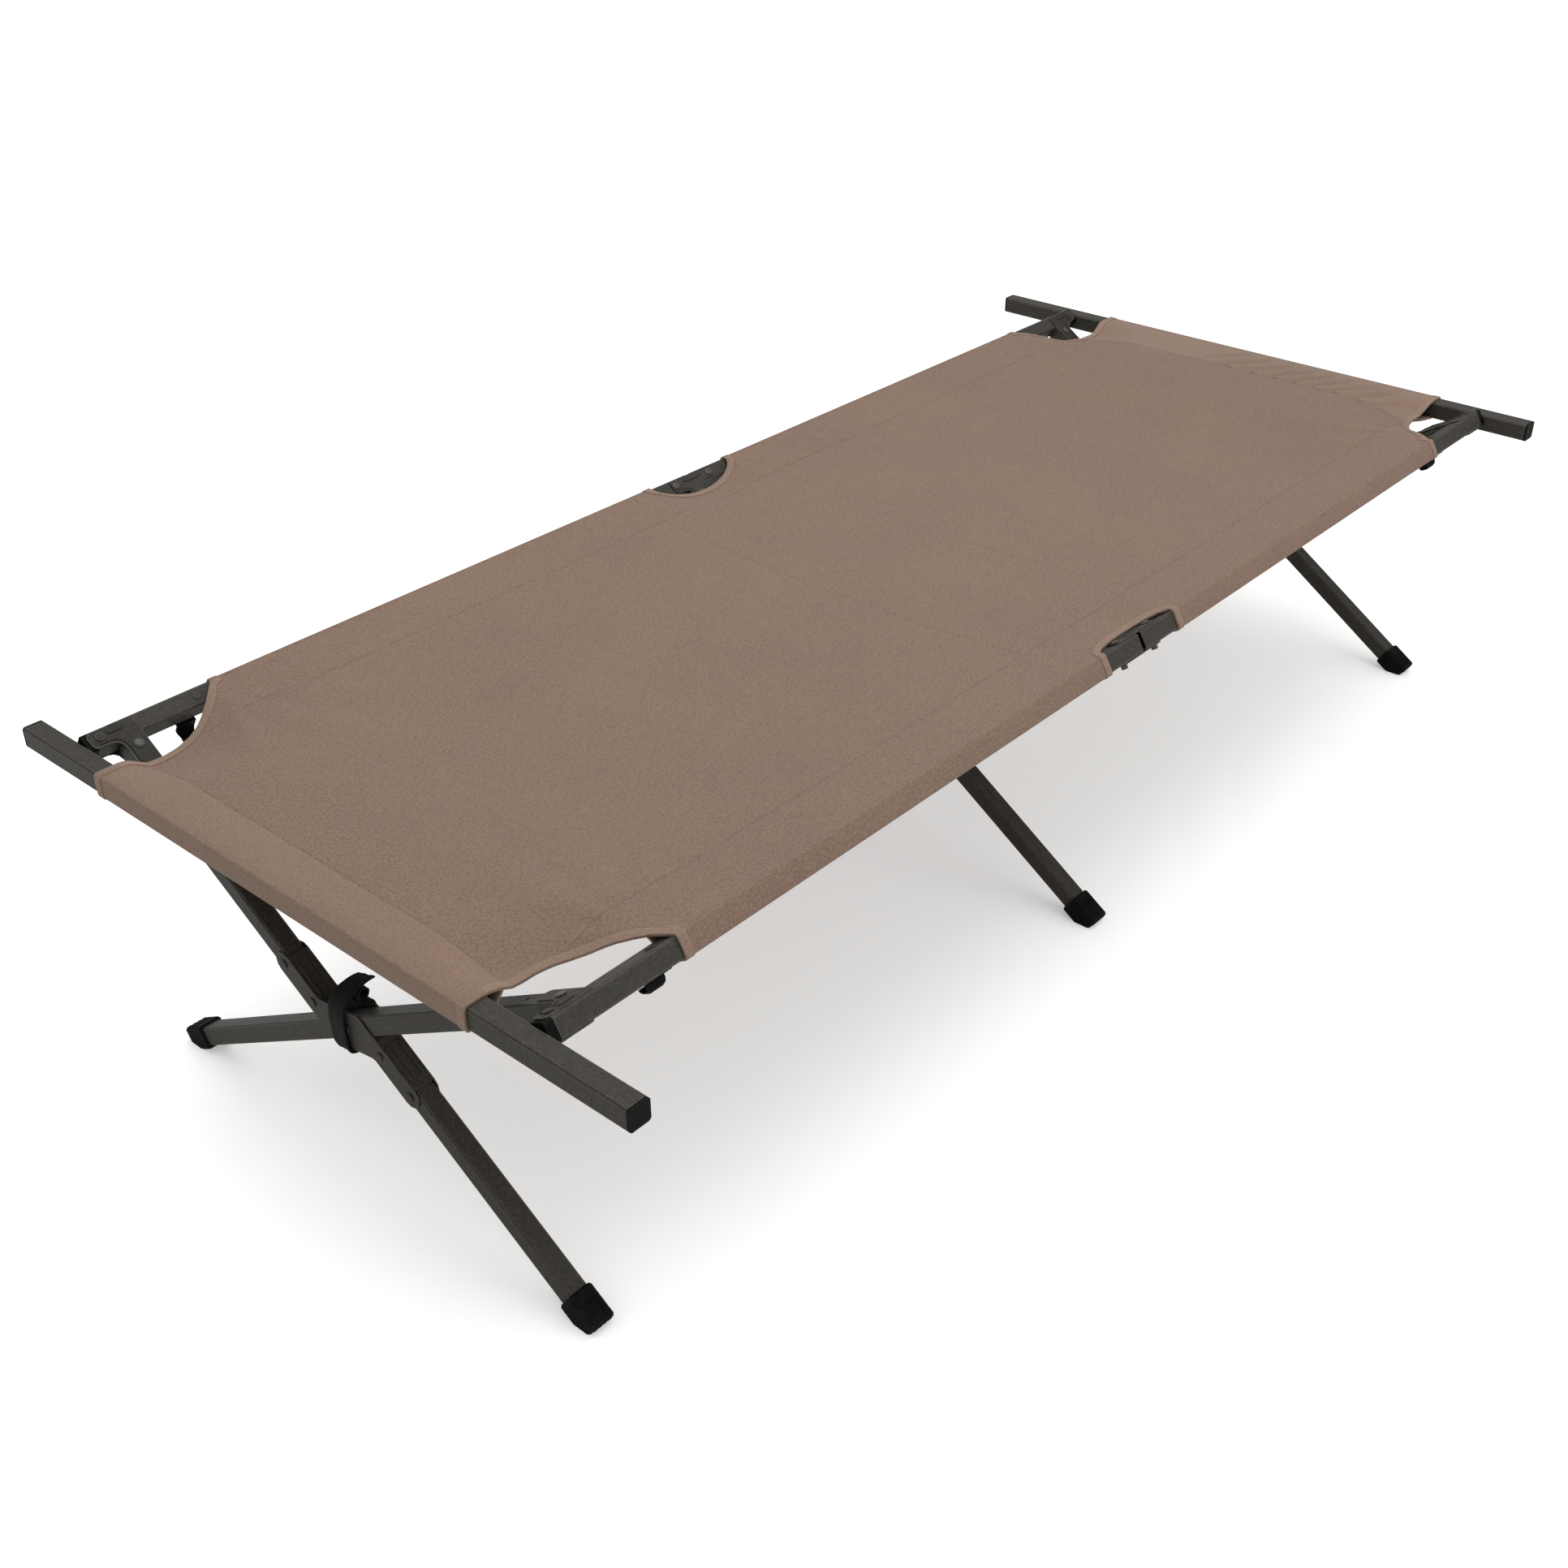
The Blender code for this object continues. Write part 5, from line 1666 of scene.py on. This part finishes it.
# %% Beads on the crossing brackets
CROSS_BEAD = (0.0048, 0.0016)
CROSS_BEAD_SPAN = (0.044, 0.096)
CROSS_BEAD_OFFSET = 0.0078


def cross_lines(end):
    lines = []
    middle = outward(LEFT, end) * LEG_X
    for sign, level in ((-1, 0.0), (1, 2 * LEG_STEP)):
        top = level + PLATE_TOP - SUNK
        start, stop = (CROSSING_DOWN + sign * reach for reach in CROSS_BEAD_SPAN)
        for offset in (-CROSS_BEAD_OFFSET, CROSS_BEAD_OFFSET):
            x = middle + offset
            lines.append(([(x, start, top), (x, stop, top)], *CROSS_BEAD, UP))
    return lines


for end in ENDS:
    add_ribs(f"cross_beads_{end}", LEFT, cross_lines(end), STEEL)

# %% [markdown]
# The rubber feet are boots over the ends of the legs, with four ribs along the top and
# four more down the front face, nearly to the floor. How far down the leg the front face
# lies follows from the leg's tilt and from the length of the sole. A foot carries the
# name of the side it stands on, which is across from the rail its leg hangs from.

# %% Ribs on the feet
FOOT_HALF = TUBE_HALF + FIT + 0.003
FOOT_SOLE = 0.027
FOOT_TOP_RIB = (0.0050, 0.0011)
FOOT_FRONT_RIB = (0.0050, 0.0009)
FOOT_RIB_OFFSETS = (-0.0096, -0.0032, 0.0032, 0.0096)
OTHER = {RIGHT: LEFT, LEFT: RIGHT}


def foot_front(side):
    """Distance down the leg to the front of its foot, and the foot's level over the leg."""
    tilt = TILT[side]
    level = 2 * LEG_STEP if side == LEFT else 0.0
    axis = RAIL_Z + level * math.cos(tilt)
    meets = -FOOT_HALF + FOOT_SOLE * math.sin(tilt)
    return (axis + meets * math.cos(tilt)) / math.sin(tilt), level


def foot_lines(side, end):
    front, level = foot_front(side)
    floor_up = (front * math.sin(TILT[side]) - RAIL_Z) / math.cos(TILT[side])
    top = level + FOOT_HALF - SUNK
    face = front - SUNK
    lines = []
    for offset in FOOT_RIB_OFFSETS:
        lane = outward(side, end) * LEG_X + offset
        along_top = [(lane, front - 0.029, top), (lane, front - 0.0022, top)]
        down_front = [(lane, face, level + FOOT_HALF - 0.0028), (lane, face, floor_up + 0.0035)]
        lines.append((along_top, *FOOT_TOP_RIB, UP))
        lines.append((down_front, *FOOT_FRONT_RIB, AHEAD))
    return lines


for side in SIGN:
    for end in ENDS:
        name = f"{OTHER[side]}_foot_ribs_{end}"
        add_ribs(name, side, foot_lines(side, end), RUBBER)
